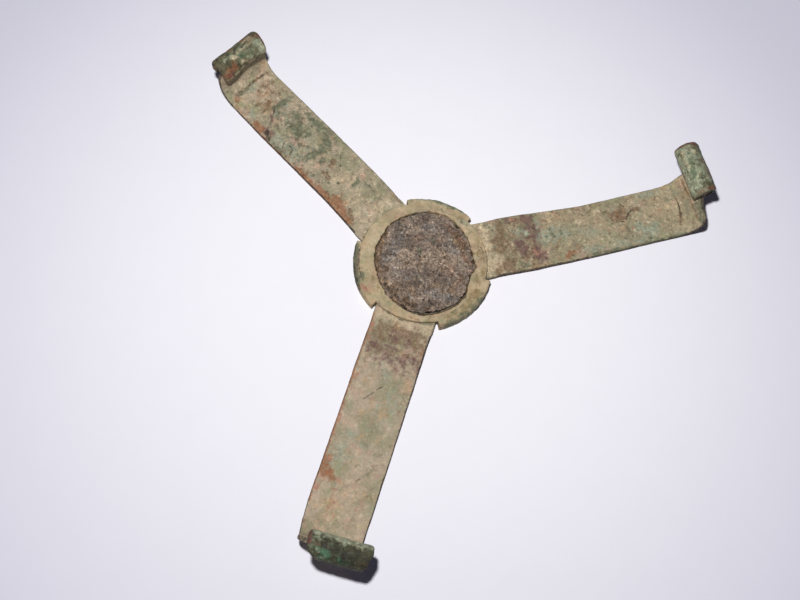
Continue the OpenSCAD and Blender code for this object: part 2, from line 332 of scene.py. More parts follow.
# Strokes on the core: points are (x, y)
CORE_STROKES = (
    ("pale", 4.8, 0.6, (-4.0, -1.0), (5.0, 0.5)),
    ("mint", 2.6, 0.6, (-8.4, 4.6), (-8.2, -2.0)),
    ("mint", 2.4, 0.5, (-6.0, -6.0), (-3.0, -5.0)),
    ("mint", 2.6, 0.55, (4.0, -7.6), (10.0, -8.0)),
    ("mint", 2.2, 0.5, (-2.0, 9.0), (2.0, 10.0)),
    ("mint", 1.8, 0.5, (5.0, 5.4), (8.0, 4.4)),
    ("rust", 1.4, 0.6, (9.6, 5.0), (11.4, 3.4)),
    ("rust", 2.2, 0.5, (7.0, 1.0), (10.0, -2.0)),
    ("rust", 1.8, 0.5, (8.0, 8.0), (3.0, 11.6)),
    ("umber", 1.6, 0.85, (6.0, 9.4), (8.4, 7.4)),
    # The next five strokes run along the core's rim: painted shade, in umber and grime, where it meets the
    # ring
    ("umber", 1.3, 0.85, (-12.0, 4.0), (-12.2, -2.0), (-10.6, -6.4)),
    ("umber", 1.8, 0.6, (-9.0, -8.4), (-4.0, -11.6), (1.0, -12.6)),
    ("grime_and_shade", 1.0, 0.5, (-8.0, -9.4), (-3.0, -12.0), (0.6, -12.6)),
    ("grime_and_shade", 0.4, 0.5, (-12.4, 5.6), (-12.8, 0.0), (-11.6, -5.0)),
    ("grime_and_shade", 0.4, 0.5, (12.4, 4.8), (13.0, 1.0), (12.6, -3.0)),
    ("umber", 2.2, 0.55, (5.0, -6.2), (10.0, -5.0)),
    ("umber", 2.0, 0.5, (-5.0, -8.4), (0.0, -9.6)),
    # Along the core's rim at the top: painted shade where it meets the ring
    ("grime_and_shade", 0.5, 0.4, (1.0, 13.6), (5.0, 12.6)),
    ("pale", 0.35, 0.95, (-7.4, -2.4), (-7.1, -3.2)),
    ("pale", 0.35, 0.9, (-8.6, -4.4)),
    ("pale", 0.4, 0.8, (-1.8, 11.0)),
    ("green", 0.7, 0.7, (-2.2, 2.4), (-1.6, 1.8)),
    ("green", 0.7, 0.7, (0.8, 6.2), (1.2, 5.6)),
)

# Strokes on each sleeve: points are (place along the sleeve, arc from its crown, outward positive)
SLEEVE_STROKES = {
    "front": (
        ("mint", 2.3, 0.72, (-5.6, -4.0), (5.6, -4.0)),
        ("pale", 1.1, 0.5, (-5.0, -3.4), (3.6, -3.3)),
        ("red", 0.7, 0.66, (-7.0, -3.2), (-6.7, -0.4)),
        ("green", 1.2, 0.54, (-5.0, 0.8), (-2.0, 1.2)),
        ("green", 0.9, 0.5, (-5.6, 2.0), (-2.0, 2.6)),
        ("green", 0.9, 0.55, (0.4, 1.8), (2.0, 2.2)),
        ("mint", 0.45, 0.9, (-4.6, 0.6), (-4.2, 1.0)),
        ("mint", 0.4, 0.85, (-2.6, 1.6)),
        ("mint", 0.35, 0.85, (-3.4, 2.4)),
        ("grime_and_shade", 3.0, 0.6, (2.0, 0.6), (6.4, 1.4)),
        ("grime_and_shade", 1.2, 0.5, (-4.6, -0.9), (1.0, -0.6)),
        ("umber", 1.2, 0.45, (4.0, -2.6), (6.6, -3.0)),
    ),
    "right": (
        ("mint", 2.8, 0.66, (-5.0, -2.4), (6.0, -2.0)),
        ("mint", 1.6, 0.7, (-6.0, -5.2), (6.5, -5.2)),
        ("pale", 1.0, 0.55, (-5.0, -5.8), (6.0, -5.6)),
        ("mint", 1.4, 0.55, (3.0, 0.6), (-5.0, 0.2)),
        ("pale", 0.9, 0.55, (0.0, -3.6), (5.0, -3.2)),
        ("pale", 0.5, 0.7, (3.4, -0.6), (4.6, -1.2)),
        ("umber", 1.1, 0.66, (1.6, 1.0), (-3.0, 1.2)),
        ("plum", 0.9, 0.6, (0.6, 0.4), (-2.0, 0.8)),
        ("umber", 0.9, 0.6, (-3.8, -0.6), (-5.0, 0.8)),
        ("green", 1.2, 0.6, (5.0, 1.6), (0.0, 2.4)),
        ("green", 0.8, 0.66, (2.2, -2.2), (-3.0, -3.2)),
        ("red", 0.7, 0.9, (7.0, -5.6), (7.0, -2.8), (7.1, 0.0), (6.9, 1.8)),
        ("red", 0.8, 0.6, (6.4, -0.8), (6.2, 0.6)),
        ("grime_and_shade", 1.1, 0.7, (-5.6, 1.6), (-6.8, 2.4)),
        ("red", 0.6, 0.8, (-7.0, -0.6), (-6.6, 2.4)),
        ("umber", 0.7, 0.7, (-7.0, -3.6), (-7.0, 0.6)),
        ("grime_and_shade", 0.8, 0.7, (-2.0, 3.4), (5.0, 3.6)),
    ),
    "left": (
        ("mint", 2.0, 0.5, (2.0, -1.4), (-4.0, -1.0)),
        ("mint", 1.0, 0.6, (4.6, -0.6), (2.4, -0.8)),
        ("mint", 0.9, 0.5, (-0.4, -3.9), (-5.4, -4.1)),
        ("rust", 1.5, 0.75, (6.2, -5.0), (4.6, -4.4), (3.2, -3.8)),
        ("red", 0.9, 0.75, (6.4, -5.2), (4.8, -4.8)),
        ("pale", 1.6, 0.6, (6.4, -7.4), (2.0, -6.6), (-2.0, -6.4)),
        ("umber", 1.6, 0.62, (-4.6, 0.4), (-6.4, 0.0)),
        ("grime_and_shade", 1.0, 0.5, (6.4, 0.6), (4.8, 1.6)),
        ("grime_and_shade", 0.7, 0.66, (6.0, 2.6), (-6.0, 2.8)),
        ("pale", 1.4, 0.56, (3.4, -0.6), (-4.4, 0.4)),
        ("green", 1.6, 0.6, (2.4, 0.8), (-2.6, 0.8)),
        ("green", 1.0, 0.66, (0.4, -2.4), (-3.0, -2.6)),
        ("grime_and_shade", 0.6, 0.72, (1.6, -0.6), (0.2, 0.6)),
        ("grime_and_shade", 0.5, 0.72, (-1.2, -0.4), (-3.0, 0.2)),
        ("grime_and_shade", 0.5, 0.66, (-2.0, -1.6), (-3.8, -1.4)),
        ("red", 0.6, 0.75, (-7.0, -3.4), (-7.1, 0.0)),
        ("mint", 1.5, 0.7, (-5.4, -1.6), (-5.6, -4.4)),
        ("pale", 1.1, 0.6, (-5.6, -2.6), (-6.0, -4.6)),
        # The next two pale spots near the crest: partly crust, partly painted highlight
        ("pale", 0.6, 0.6, (0.8, -3.8), (-0.6, -4.4)),
        ("pale", 0.5, 0.62, (2.4, -1.5), (1.4, -1.9)),
        ("rust", 1.2, 0.45, (-4.0, 1.4), (2.0, 1.6)),
    ),
}

# Outline of the core's broken edge: angle, radius
CORE_EDGE = (
    (0, 12.8), (1, 12.7), (7, 13.3), (13, 13.9), (18, 12.8), (24, 13.1), (32, 13.0), (39, 13.4), (47, 13.4),
    (55, 13.7), (63, 13.7), (68, 13.4), (76, 14.4), (86, 14.4), (96, 14.2), (108, 14.1), (118, 13.7),
    (128, 13.4), (138, 13.4), (147, 13.3), (153, 13.3), (157, 12.3), (166, 12.5), (176, 12.6), (187, 12.7),
    (197, 12.5), (210, 12.4), (218, 12.4), (228, 12.8), (236, 13.0), (243, 13.2), (252, 13.3), (259, 13.4),
    (267, 13.4), (271, 14.0), (279, 14.0), (287, 14.2), (291, 13.9), (303, 13.8), (316, 13.9), (326, 13.9),
    (335, 13.9), (340, 13.7), (349, 12.9), (357, 13.1), (360, 12.8),
)

# Outline of the hub's bore, worn out of round: angle, radius
BORE_EDGE = (
    (0, 12.9), (6, 13.3), (13, 14.0), (22, 13.3), (34, 13.2), (47, 13.6), (63, 13.9), (78, 14.5),
    (94, 14.4), (110, 14.2), (128, 13.7), (147, 13.5), (160, 13.0), (176, 12.9), (197, 12.8), (214, 12.6),
    (230, 13.0), (246, 13.5), (260, 14.1), (272, 14.7), (288, 15.0), (304, 14.8), (326, 14.7), (337, 14.4),
    (344, 13.5), (350, 13.1), (360, 12.9),
)


def linear(red, green, blue):
    """Scene-linear colour for a colour written as the screen shows it, from 0 to 255."""
    parts = [c / 255 for c in (red, green, blue)]
    return tuple(c / 12.92 if c <= 0.04045 else ((c + 0.055) / 1.055) ** 2.4 for c in parts)


def length(name, description, millimetres):
    """A size that a user may change, written in millimetres."""
    return FloatProperty(
        name=name,
        description=description,
        default=millimetres * MM,
        min=0.0,
        unit="LENGTH",
    )


def tint(name, description, red, green, blue):
    """A colour that a user may change, written as the screen shows it."""
    return FloatVectorProperty(
        name=name,
        description=description,
        default=linear(red, green, blue),
        size=3,
        min=0.0,
        max=1.0,
        subtype="COLOR",
    )


class StandSizes(bpy.types.PropertyGroup):
    """Sizes that the meshes share with the solids, and the wear on them."""

    strip_width: length("Strip Width", "Width of each arm's strip", 16.0)
    strip_thickness: length("Strip Thickness", "Thickness of each arm's strip", 1.2)
    strip_edge: length("Strip Edge", "Radius worn on the strip's long edges", 0.34)
    hub_lift: length("Hub Lift", "Height of the strips above the table at the hub", 1.0)
    ramp_start: length("Ramp Start", "Distance from the hub axis where a strip starts down", 19.5)
    ramp_end: length("Ramp End", "Distance from the hub axis where a strip reaches the table", 59.8)
    bend_start: length("Bend Start", "Distance from the hub axis where a strip turns up", 69.8)
    bend_radius: length("Bend Radius", "Radius of that bend at the middle of the strip", 4.8)
    upturn: length("Upturn", "Length of strip in an upturned end, with its bend", 13.6)
    corner: length("Corner", "Corner radius at the top of an upturned end", 5.4)
    tongue: length("Tongue Radius", "Distance from the hub axis to a strip's inner end", 14.0)
    sleeve_radius: length("Sleeve Radius", "Outside radius of a sleeve", 3.0)
    sleeve_wall: length("Sleeve Wall", "Wall of a sleeve", 0.6)
    sleeve_length: length("Sleeve Length", "Length of a sleeve", 14.5)
    sleeve_slit: length("Sleeve Slit", "Width of the slit along a sleeve", 2.3)
    sleeve_grip: length("Sleeve Grip", "Depth of an upturned end inside its sleeve", 2.6)
    ring_top: length("Ring Top", "Height of the hub ring", 3.4)
    ring_flat: length("Ring Flat", "Radius of the hub ring's flat top", 16.8)
    ring_bore: length("Ring Bore", "Radius of the hub ring's bore", 13.8)
    core_crown: length("Core Crown", "Height of the core's crown above the ring", 0.5)


class StandFinish(bpy.types.PropertyGroup):
    """Colours of the metal, its deposits and the stage."""

    front_soil: tint("Front Soil", "Thin dry soil over the front arm", 178, 160, 138)
    right_soil: tint("Right Soil", "Thin dry soil over the right arm", 170, 155, 127)
    left_soil: tint("Left Soil", "Thin dry soil over the left arm", 178, 162, 138)
    olive: tint("Olive Film", "Grey-green patina that shows through the soil", 146, 138, 112)
    pale: tint("Pale Crust", "Pale crust of soil", 196, 177, 146)
    mint: tint("Mint Bloom", "Pale green-grey bloom", 149, 154, 133)
    green: tint("Green Patina", "Dark green patina", 98, 104, 82)
    umber: tint("Umber Stain", "Dark brown stain", 122, 99, 76)
    plum: tint("Plum Stain", "Purple-brown stain", 108, 80, 76)
    rust: tint("Rust", "Rust", 146, 99, 70)
    red: tint("Red Bloom", "Pinkish-red bloom", 168, 121, 101)
    # This colour also paints shade: on the strips' walls and edges, in the hub ring's gaps and under it,
    # down the core's side and inside the sleeves
    grime_and_shade: tint("Grime", "Black grime in cracks and specks", 62, 54, 46)
    ochre: tint("Ochre Film", "Warm soil in the film", 186, 148, 106)
    pink: tint("Pink Drift", "Pink that the soil film drifts to", 182, 142, 124)
    leaf: tint("Green Drift", "Green that the soil film drifts to", 142, 150, 112)
    ring: tint("Ring Film", "Pale soil over the hub ring", 192, 172, 139)
    ring_olive: tint("Ring Olive", "Patina that shows through on the hub ring", 166, 148, 117)
    ring_umber: tint("Ring Umber", "Olive-brown stain on the hub ring", 138, 119, 84)
    core: tint("Core Crust", "Rust and soil on the core", 152, 135, 119)
    core_dark: tint("Core Hollows", "Hollows in the core's crust", 110, 96, 85)
    core_pale: tint("Core Pale", "Raised crust on the core", 158, 139, 120)
    core_mint: tint("Core Bloom", "Grey bloom on the core", 132, 125, 119)
    core_rust: tint("Core Rust", "Rust on the core", 138, 106, 86)
    core_ochre: tint("Core Ochre", "Warm soil on the core", 150, 122, 98)
    core_pink: tint("Core Pink", "Pink that the core's crust drifts to", 144, 118, 104)
    core_leaf: tint("Core Green", "Green-grey that the core's crust drifts to", 120, 117, 109)
    sleeve: tint("Sleeve Patina", "Dark patina of the sleeves", 108, 104, 78)
    sleeve_olive: tint("Sleeve Olive", "Darker patina in the sleeves' mottle", 66, 64, 45)
    sleeve_mint: tint("Sleeve Mint", "Pale green bloom on the sleeves", 150, 156, 130)
    sleeve_leaf: tint("Sleeve Green", "Green patina on the sleeves", 92, 104, 79)
    sleeve_rust: tint("Sleeve Rust", "Rust on the sleeves", 138, 90, 62)
    sleeve_red: tint("Sleeve Red", "Dark red at the sleeves' ends", 98, 61, 51)
    sleeve_black: tint("Sleeve Black", "Black patina on the front sleeve", 40, 38, 28)
    malachite: tint("Malachite", "Bright green on the front sleeve", 74, 114, 86)
    paper: tint("Paper", "Paper under the stand", 245, 244, 248)
    paper_far: tint("Paper Far Off", "Paper away from the stand, where the flash fades", 181, 178, 197)
    backdrop: tint("Backdrop", "Pale room behind the paper", 207, 205, 217)
    room: tint("Room", "Light of the room that fills the shadows", 214, 214, 255)


class StandStage(bpy.types.PropertyGroup):
    """Light on the stand."""

    key_level: FloatProperty(
        name="Key Level",
        description="Light from the lamp on the paper below it",
        default=0.98,
        min=0.0,
    )
    fill_level: FloatProperty(
        name="Fill Level",
        description="Light from all round",
        default=0.05,
        min=0.0,
    )
    key_radius: length("Key Radius", "Radius of the lamp", 6.0)


def sizes():
    """The sizes in millimetres."""
    held = bpy.context.scene.stand_sizes
    return {key: getattr(held, key) / MM for key in StandSizes.__annotations__}


def finish():
    """The colours, each ready for a shader socket."""
    held = bpy.context.scene.stand_finish
    return {key: (*getattr(held, key), 1.0) for key in StandFinish.__annotations__}


def smoothstep(low, high, value):
    """0 before low, 1 past high, and a smooth climb between them."""
    t = np.clip((np.asarray(value, float) - low) / (high - low), 0, 1)
    return t * t * (3 - 2 * t)


# Fractal noise: shift along X, Y and Z for each unit of seed, fall of each octave and rise of its pitch
SEED_SHIFT = (1.0, 1.7, -0.6)
OCTAVE_FALL = 1.0
OCTAVE_RISE = 2.0


def grain(points, grain_size, octaves, seed=0.0):
    """Fractal noise from about -1 to 1 at points in millimetres."""
    shift = Vector([step * seed for step in SEED_SHIFT])
    return np.array(
        [noise.fractal(Vector(p) / grain_size + shift, OCTAVE_FALL, OCTAVE_RISE, octaves) for p in points]
    )


def layered_grain(points, layers):
    """Sum of layers of noise at points in millimetres, each with its depth, grain size and octaves."""
    return sum(depth * grain(points, grain_size, octaves) for depth, grain_size, octaves in layers)


# Noise at which a pit starts and at which it is full
PIT_RANGE = (0.25, 0.6)
PIT_OCTAVES = 2


def pitting(points, depth, grain_size, seed):
    """Depth of the pits at points in millimetres."""
    return depth * smoothstep(*PIT_RANGE, grain(points, grain_size, PIT_OCTAVES, seed))


def on_circle(radius, angles, level):
    """Points on a circle round the hub axis, for noise that closes on itself."""
    return [(radius * math.cos(a), radius * math.sin(a), level) for a in angles]


def turned(x, y, angle):
    """Places in plan, turned about the hub axis."""
    return x * np.cos(angle) - y * np.sin(angle), x * np.sin(angle) + y * np.cos(angle)


def distance_to_line(places, points):
    """Distance from each place to the line through the points."""
    points = [np.array(p, float) for p in points]
    best = np.hypot(*(places - points[0]).T)
    for a, b in zip(points, points[1:]):
        along = b - a
        t = np.clip((places - a) @ along / (along @ along), 0, 1)
        best = np.minimum(best, np.hypot(*(places - a - t[:, None] * along).T))
    return best


def deepen(fields, deposit, *layers):
    """Raise a deposit to the strongest of some layers."""
    for layer in layers:
        fields[deposit] = np.maximum(fields[deposit], layer)


# Fall of a stroke that leaves half of it at its radius
STROKE_FALL = 0.7


def lay(places, strokes):
    """How strongly each deposit lies at each place: full along a stroke, and half of that at its radius."""
    fields = {name: np.zeros(len(places)) for name in DEPOSITS}
    for deposit, radius, strength, *points in strokes:
        away = distance_to_line(places, points) / radius
        deepen(fields, deposit, strength * np.exp(-STROKE_FALL * away**2))
    return fields


def make_piece(name, points, faces, fields, material, body, replaced):
    """A piece with its deposits as attributes, riding on a body in place of a node."""
    mesh = bpy.data.meshes.new(name)
    mesh.from_pydata((np.asarray(points) * MM).tolist(), [], faces)
    edit = bmesh.new()
    edit.from_mesh(mesh)
    bmesh.ops.recalc_face_normals(edit, faces=edit.faces)
    edit.to_mesh(mesh)
    edit.free()
    mesh.shade_smooth()
    for deposit, values in fields.items():
        attribute = mesh.attributes.new(deposit, "FLOAT", "POINT")
        attribute.data.foreach_set("value", values.astype(np.float32))
    mesh.materials.append(material)
    piece = bpy.data.objects.new(name, mesh)
    bpy.context.scene.collection.objects.link(piece)
    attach(piece, body)
    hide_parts(replaced)


def ring_faces(rings, around, closed=True):
    """Quads between successive rings of points."""
    faces = []
    for i in range(rings - 1):
        for j in range(around if closed else around - 1):
            k = (j + 1) % around
            faces.append((i * around + j, i * around + k, (i + 1) * around + k, (i + 1) * around + j))
    return faces


def counted_from(first, faces):
    """Faces whose points are counted from a later one."""
    return [tuple(first + k for k in face) for face in faces]


def blank_tree(owner):
    """Empty node tree of a material, a lamp or a world."""
    owner.use_nodes = True
    owner.node_tree.nodes.clear()
    return owner.node_tree


def node(tree, kind, inputs=None, **settings):
    """A new node, with values or links on its inputs."""
    made = tree.nodes.new(kind)
    for key, value in settings.items():
        setattr(made, key, value)
    for key, value in (inputs or {}).items():
        if isinstance(value, bpy.types.NodeSocket):
            tree.links.new(value, made.inputs[key])
        else:
            made.inputs[key].default_value = value
    return made


def maths(tree, operation, *values):
    """Result of a sum on values or links."""
    return node(tree, "ShaderNodeMath", dict(enumerate(values)), operation=operation).outputs[0]


# Sockets of a Mix node that mixes colours
MIX_FACTOR, MIX_A, MIX_B, MIX_RESULT = 0, 6, 7, 2


def mixed(tree, factor, a, b, blend="MIX"):
    """Colour a turned towards colour b by a factor."""
    inputs = {MIX_FACTOR: factor, MIX_A: a, MIX_B: b}
    return node(tree, "ShaderNodeMix", inputs, data_type="RGBA", blend_type=blend).outputs[MIX_RESULT]


def mottle(tree, place, grain_size, detail, roughness=0.6, distortion=0.0, seed=0.0):
    """Noise with features of a size in millimetres."""
    inputs = {
        "Vector": place,
        "W": seed,
        "Scale": 1 / (grain_size * MM),
        "Detail": detail,
        "Roughness": roughness,
        "Distortion": distortion,
    }
    return node(tree, "ShaderNodeTexNoise", inputs, noise_dimensions="4D").outputs[0]


def ramp(tree, value, low, high, start=0.0, end=1.0):
    """A value carried smoothly from one range to another."""
    inputs = {"Value": value, "From Min": low, "From Max": high, "To Min": start, "To Max": end}
    return node(tree, "ShaderNodeMapRange", inputs, interpolation_type="SMOOTHSTEP").outputs[0]


# Middle of a noise node's range
NOISE_MIDDLE = 0.5


def summed(tree, value, share, other):
    """A value with a share of a noise added, so that the noise raises it as much as it lowers it."""
    away = maths(tree, "MULTIPLY_ADD", other, share, -NOISE_MIDDLE * share)
    return maths(tree, "ADD", value, away)


def soil_film(tree, place, film, under, palette):
    """Film of soil over a patina, with warm and grey-green patches and a drift to pink and to green."""
    broad = mottle(tree, place, grain_size=6.0, detail=8.0, roughness=0.66, distortion=0.4)
    warm = mottle(tree, place, grain_size=3.2, detail=8.0, roughness=0.68, seed=31.0)
    drift = mottle(tree, place, grain_size=3.0, detail=5.0, roughness=0.62, seed=83.0)
    colour = mixed(tree, ramp(tree, broad, low=0.38, high=0.62), film, under)
    for field, low, high, tone in (
        (warm, 0.52, 0.68, "ochre"),
        (warm, 0.46, 0.3, "mint"),
        (drift, 0.53, 0.68, "pink"),
        (drift, 0.47, 0.32, "leaf"),
    ):
        colour = mixed(tree, ramp(tree, field, low, high, end=0.5), colour, palette[tone])
    return colour


def deposit_layers(tree, place, colour, palette):
    """The deposits laid over a colour, each broken up into specks by its own noise."""
    fine = mottle(tree, place, grain_size=0.8, detail=5.0, roughness=0.7, seed=97.0)
    thickness = ramp(tree, fine, low=0.36, high=0.6, start=0.5, end=0.95)
    for index, deposit in enumerate(DEPOSITS):
        field = node(tree, "ShaderNodeAttribute", attribute_name=deposit).outputs["Fac"]
        specks = mottle(tree, place, grain_size=1.7, detail=8.0, roughness=0.72, seed=2.3 * index + 1.0)
        broken = summed(tree, field, share=2.1, other=specks)
        cover = ramp(tree, broken, low=0.34, high=0.68, end=thickness)
        colour = mixed(tree, cover, colour, palette[deposit])
    return colour


def fine_wrinkles(tree, place, colour, strength, lighter, darker):
    """Thin lighter and darker lines along the level lines of two noises."""
    for seed, gain in ((97.0, lighter), (103.0, darker)):
        folds = mottle(tree, place, grain_size=1.7, detail=3.0, roughness=0.6, distortion=0.6, seed=seed)
        off_line = maths(tree, "ABSOLUTE", maths(tree, "SUBTRACT", folds, NOISE_MIDDLE))
        line = ramp(tree, off_line, low=0.05, high=0.0, end=strength)
        colour = mixed(tree, line, colour, gain, blend="MULTIPLY")
    return colour


def earthy_metal(
    name,
    film,
    under,
    palette,
    grit,
    flecks_pits=(1.65, 0.42),
    coarseness=1.0,
    wrinkles=0.0,
    roughness=(0.72, 0.95),
    bump=0.1,
):
    """Patinated metal under a film of soil: mottled tones, the deposits over them, then flecks and pits."""
    material = bpy.data.materials.new(name)
    tree = blank_tree(material)
    place = node(tree, "ShaderNodeTexCoord").outputs["Object"]
    colour = soil_film(tree, place, film, under, palette)
    colour = deposit_layers(tree, place, colour, palette)
    flecks = mottle(tree, place, grain_size=1.35 * coarseness, detail=7.0, roughness=0.76, seed=47.0)
    pits = mottle(tree, place, grain_size=1.1 * coarseness, detail=7.0, roughness=0.72, seed=59.0)
    grains = mottle(tree, place, grain_size=0.62 * coarseness, detail=4.0, roughness=0.7, seed=71.0)
    lighter, darker = ((factor, factor, factor, 1.0) for factor in flecks_pits)
    for field, low, high, gain in (
        (flecks, 0.5, 0.64, lighter),
        (pits, 0.48, 0.34, darker),
        (grains, 0.52, 0.72, lighter),
        (grains, 0.48, 0.28, darker),
    ):
        colour = mixed(tree, ramp(tree, field, low, high, end=grit), colour, gain, blend="MULTIPLY")
    if wrinkles:
        colour = fine_wrinkles(tree, place, colour, wrinkles, lighter, darker)
    smoothest, roughest = roughness
    rough = ramp(tree, flecks, low=0.3, high=0.7, start=smoothest, end=roughest)
    crust = summed(tree, maths(tree, "ADD", flecks, pits), share=0.6, other=grains)
    height = node(tree, "ShaderNodeBump", {"Height": crust, "Strength": 1.0, "Distance": bump * MM})
    shader = node(
        tree,
        "ShaderNodeBsdfPrincipled",
        {"Base Color": colour, "Roughness": rough, "Specular IOR Level": 0.25, "Normal": height.outputs[0]},
    )
    node(tree, "ShaderNodeOutputMaterial", {"Surface": shader.outputs[0]})
    return material


# Mesh of a strip: points across each face and round each edge, distance between its sections, and
# sections in the rounding of its top corners
ACROSS = 58
EDGE_STEPS = 4
STATION_STEP = 0.29
CORNER_STEPS = 20
# Distances from the hub axis over which a strip comes free of the hub ring
HUB_FREE = (17.4, 19.0)
# Distances from a strip's top end over which its wear fades out for the sleeve
SLEEVE_SEAT = (7.0, 9.0)
# Length over which a strip's round inner end eases into straight sections
TONGUE_EASE = 4.5
# Waves and nicks of a strip's long edges: depth, grain size, octaves
WAVE_DEPTH, WAVE_GRAIN, WAVE_OCTAVES = 0.07, 6.0, 4
NICK_DEPTH, NICK_GRAIN, NICK_OCTAVES = 0.06, 1.3, 3
# How far apart the noise for the nicks of the two edges is read
NICK_SPACING = 3
# What is worn off each long edge all along
EDGE_LOSS = 0.1
# Power of the place across a strip that keeps this wear to its edges
EDGE_WEAR_POWER = 3
# Painted shade on a strip's side walls, in the grime colour; the walls start at this offset past a face
WALL_SHADE = 0.75
WALL_OFFSET = 0.1
# Painted shade along a strip's edges, in the grime colour, and the distances in from them over which it
# comes on
EDGE_SHADE = 0.4
EDGE_SHADE_FADE = (0.55, 0.05)
# Painted shadow of the hub ring's edge on the arms: a dark line round its flat top
RING_LINE_SHADOW = 0.6
RING_LINE_OFFSET, RING_LINE_WIDTH = 0.2, 0.26
# Distances from the hub axis over which painted shade comes on under the hub ring
UNDER_RING_SHADE_FADE = (16.2, 15.6)
# Dents of a strip: depth, grain size, octaves
STRIP_DENTS = ((0.09, 8.0, 3), (0.05, 1.6, 4))
# Pits of a strip: depth, grain size, seed
STRIP_PITS = (0.1, 0.9, 5.0)
# Crust where the pale deposit is strong, and cracks where grime lies apart from the painted shade on the
# walls and edges
CRUST_HEIGHT = 0.1
CRUST_RANGE = (0.45, 0.7)
CRACK_DEPTH = 0.16
CRACK_RANGE = (0.6, 0.95)
# Shares of the relief that are left under the sleeve and on the underside
SEAT_RELIEF = 0.12
UNDERSIDE_RELIEF = 0.6


def strip_path(size, lean, stations):
    """Middle line of a strip at distances along it: outward place, height, and its upper face's normal."""
    full_bend = math.radians(90 - lean)
    ramp_share = smoothstep(size["ramp_start"], size["ramp_end"], stations)
    flat_z = size["hub_lift"] * (1 - ramp_share) + size["strip_thickness"] / 2
    slope = np.gradient(flat_z, stations)
    bend = np.clip((stations - size["bend_start"]) / size["bend_radius"], 0, full_bend)
    after = np.clip(stations - size["bend_start"] - size["bend_radius"] * full_bend, 0, None)
    out = np.minimum(stations, size["bend_start"]) + size["bend_radius"] * np.sin(bend)
    out = out + after * math.sin(math.radians(lean))
    up = flat_z + size["bend_radius"] * (1 - np.cos(bend)) + after * math.cos(math.radians(lean))
    tilt = np.where(stations < size["bend_start"], np.arctan(slope), bend)
    return out, up, -np.sin(tilt), np.cos(tilt)


def strip_section(size):
    """Closed section of a strip: share of the half width less the edge, edge offset, and height."""
    edge, half = size["strip_edge"], size["strip_thickness"] / 2
    across = np.linspace(-1, 1, ACROSS)
    turns = np.linspace(0, math.pi, EDGE_STEPS + 2)[1:-1]
    section = [(a, 0.0, half) for a in across]
    section += [(1.0, edge * math.sin(t), half * math.cos(t)) for t in turns]
    section += [(a, 0.0, -half) for a in across[::-1]]
    section += [(-1.0, -edge * math.sin(t), -half * math.cos(t)) for t in turns]
    return np.array(section)


def strip_stations(size):
    """Distances along a strip, closer together where its corners round off."""
    start = math.sqrt(size["tongue"] ** 2 - size["strip_width"] ** 2 / 4)
    end = size["bend_start"] + size["upturn"]
    body = np.arange(start, end - size["corner"], STATION_STEP)
    turn = np.linspace(0, math.pi / 2, CORNER_STEPS)
    return np.concatenate([body, end - size["corner"] + size["corner"] * np.sin(turn)])


def edge_wear(stations, side, seed, free, seat):
    """How far a long edge of a strip stands out past its line, or in behind it."""
    wave = grain([(s, side, seed) for s in stations], WAVE_GRAIN, WAVE_OCTAVES)
    nick = grain([(s, NICK_SPACING * side, seed) for s in stations], NICK_GRAIN, NICK_OCTAVES)
    return free * seat * (WAVE_DEPTH * wave + NICK_DEPTH * np.minimum(nick, 0.0)) - EDGE_LOSS * free


def strip_plan(name, size, stations, section, free, seat):
    """Places along and across a strip of its sections' points, and their distances in from its edges."""
    share, edge_off, _ = section.T
    half_width, corner = size["strip_width"] / 2, size["corner"]
    into_corner = np.clip(stations - (stations[-1] - corner), 0, corner)
    half = half_width - corner + np.sqrt(corner**2 - into_corner**2)
    low, high = (edge_wear(stations, side, ARMS[name]["turn"], free, seat) for side in (-1.0, 1.0))
    side_wear = np.where(share > 0, high[:, None], -low[:, None])
    reach = (half - size["strip_edge"])[:, None] * share + edge_off
    across = reach + side_wear * np.abs(share) ** EDGE_WEAR_POWER
    stops, bow, spread = np.array(STRIP_WEAR[name], float).T
    across = across * (1 + np.interp(stations, stops, spread) / half_width)[:, None]
    across = across + np.interp(stations, stops, bow)[:, None]
    tongue = np.sqrt(np.clip(size["tongue"] ** 2 - across**2, 0, None)) - stations[0]
    eased = 1 - np.clip((stations - stations[0]) / TONGUE_EASE, 0, 1)
    along = stations[:, None] + tongue * eased[:, None]
    return along.ravel(), across.ravel(), (half[:, None] - np.abs(reach)).ravel()


def strip_deposits(name, size, places, edge, wall):
    """Strokes on a strip, with painted shade on its walls and edges, a painted shadow line round the hub
    ring and painted shade under it.
    """
    fields = lay(places, ARM_STROKES[name])
    from_axis = np.hypot(*places.T)
    off_line = (from_axis - size["ring_flat"] - RING_LINE_OFFSET) / RING_LINE_WIDTH
    deepen(fields, "grime_and_shade", EDGE_SHADE * edge, RING_LINE_SHADOW * np.exp(-(off_line**2)))
    deepen(fields, "grime_and_shade", WALL_SHADE * wall, smoothstep(*UNDER_RING_SHADE_FADE, from_axis))
    return fields


def strip_relief(places, seed, fields, edge, wall):
    """Height of a strip's dents, pits, crust and cracks."""
    spots = np.column_stack([places, np.full(len(places), seed)])
    relief = layered_grain(spots, STRIP_DENTS) - pitting(spots, *STRIP_PITS)
    cracked = fields["grime_and_shade"] - WALL_SHADE * np.maximum(edge, wall)
    crust = CRUST_HEIGHT * smoothstep(*CRUST_RANGE, fields["pale"])
    return relief + (crust - CRACK_DEPTH * smoothstep(*CRACK_RANGE, cracked))


def strip_faces(count):
    """Quads round a strip of so many sections, with a cap at each end."""
    around = 2 * (ACROSS + EDGE_STEPS)
    faces = ring_faces(count, around)
    for first in (0, (count - 1) * around):
        low = first + ACROSS + EDGE_STEPS
        last = low + ACROSS - 1
        faces += [(first + j, first + j + 1, last - j - 1, last - j) for j in range(ACROSS - 1)]
        faces.append(tuple(range(first + ACROSS - 1, low + 1)))
        faces.append((*range(last, first + around), first))
    return faces


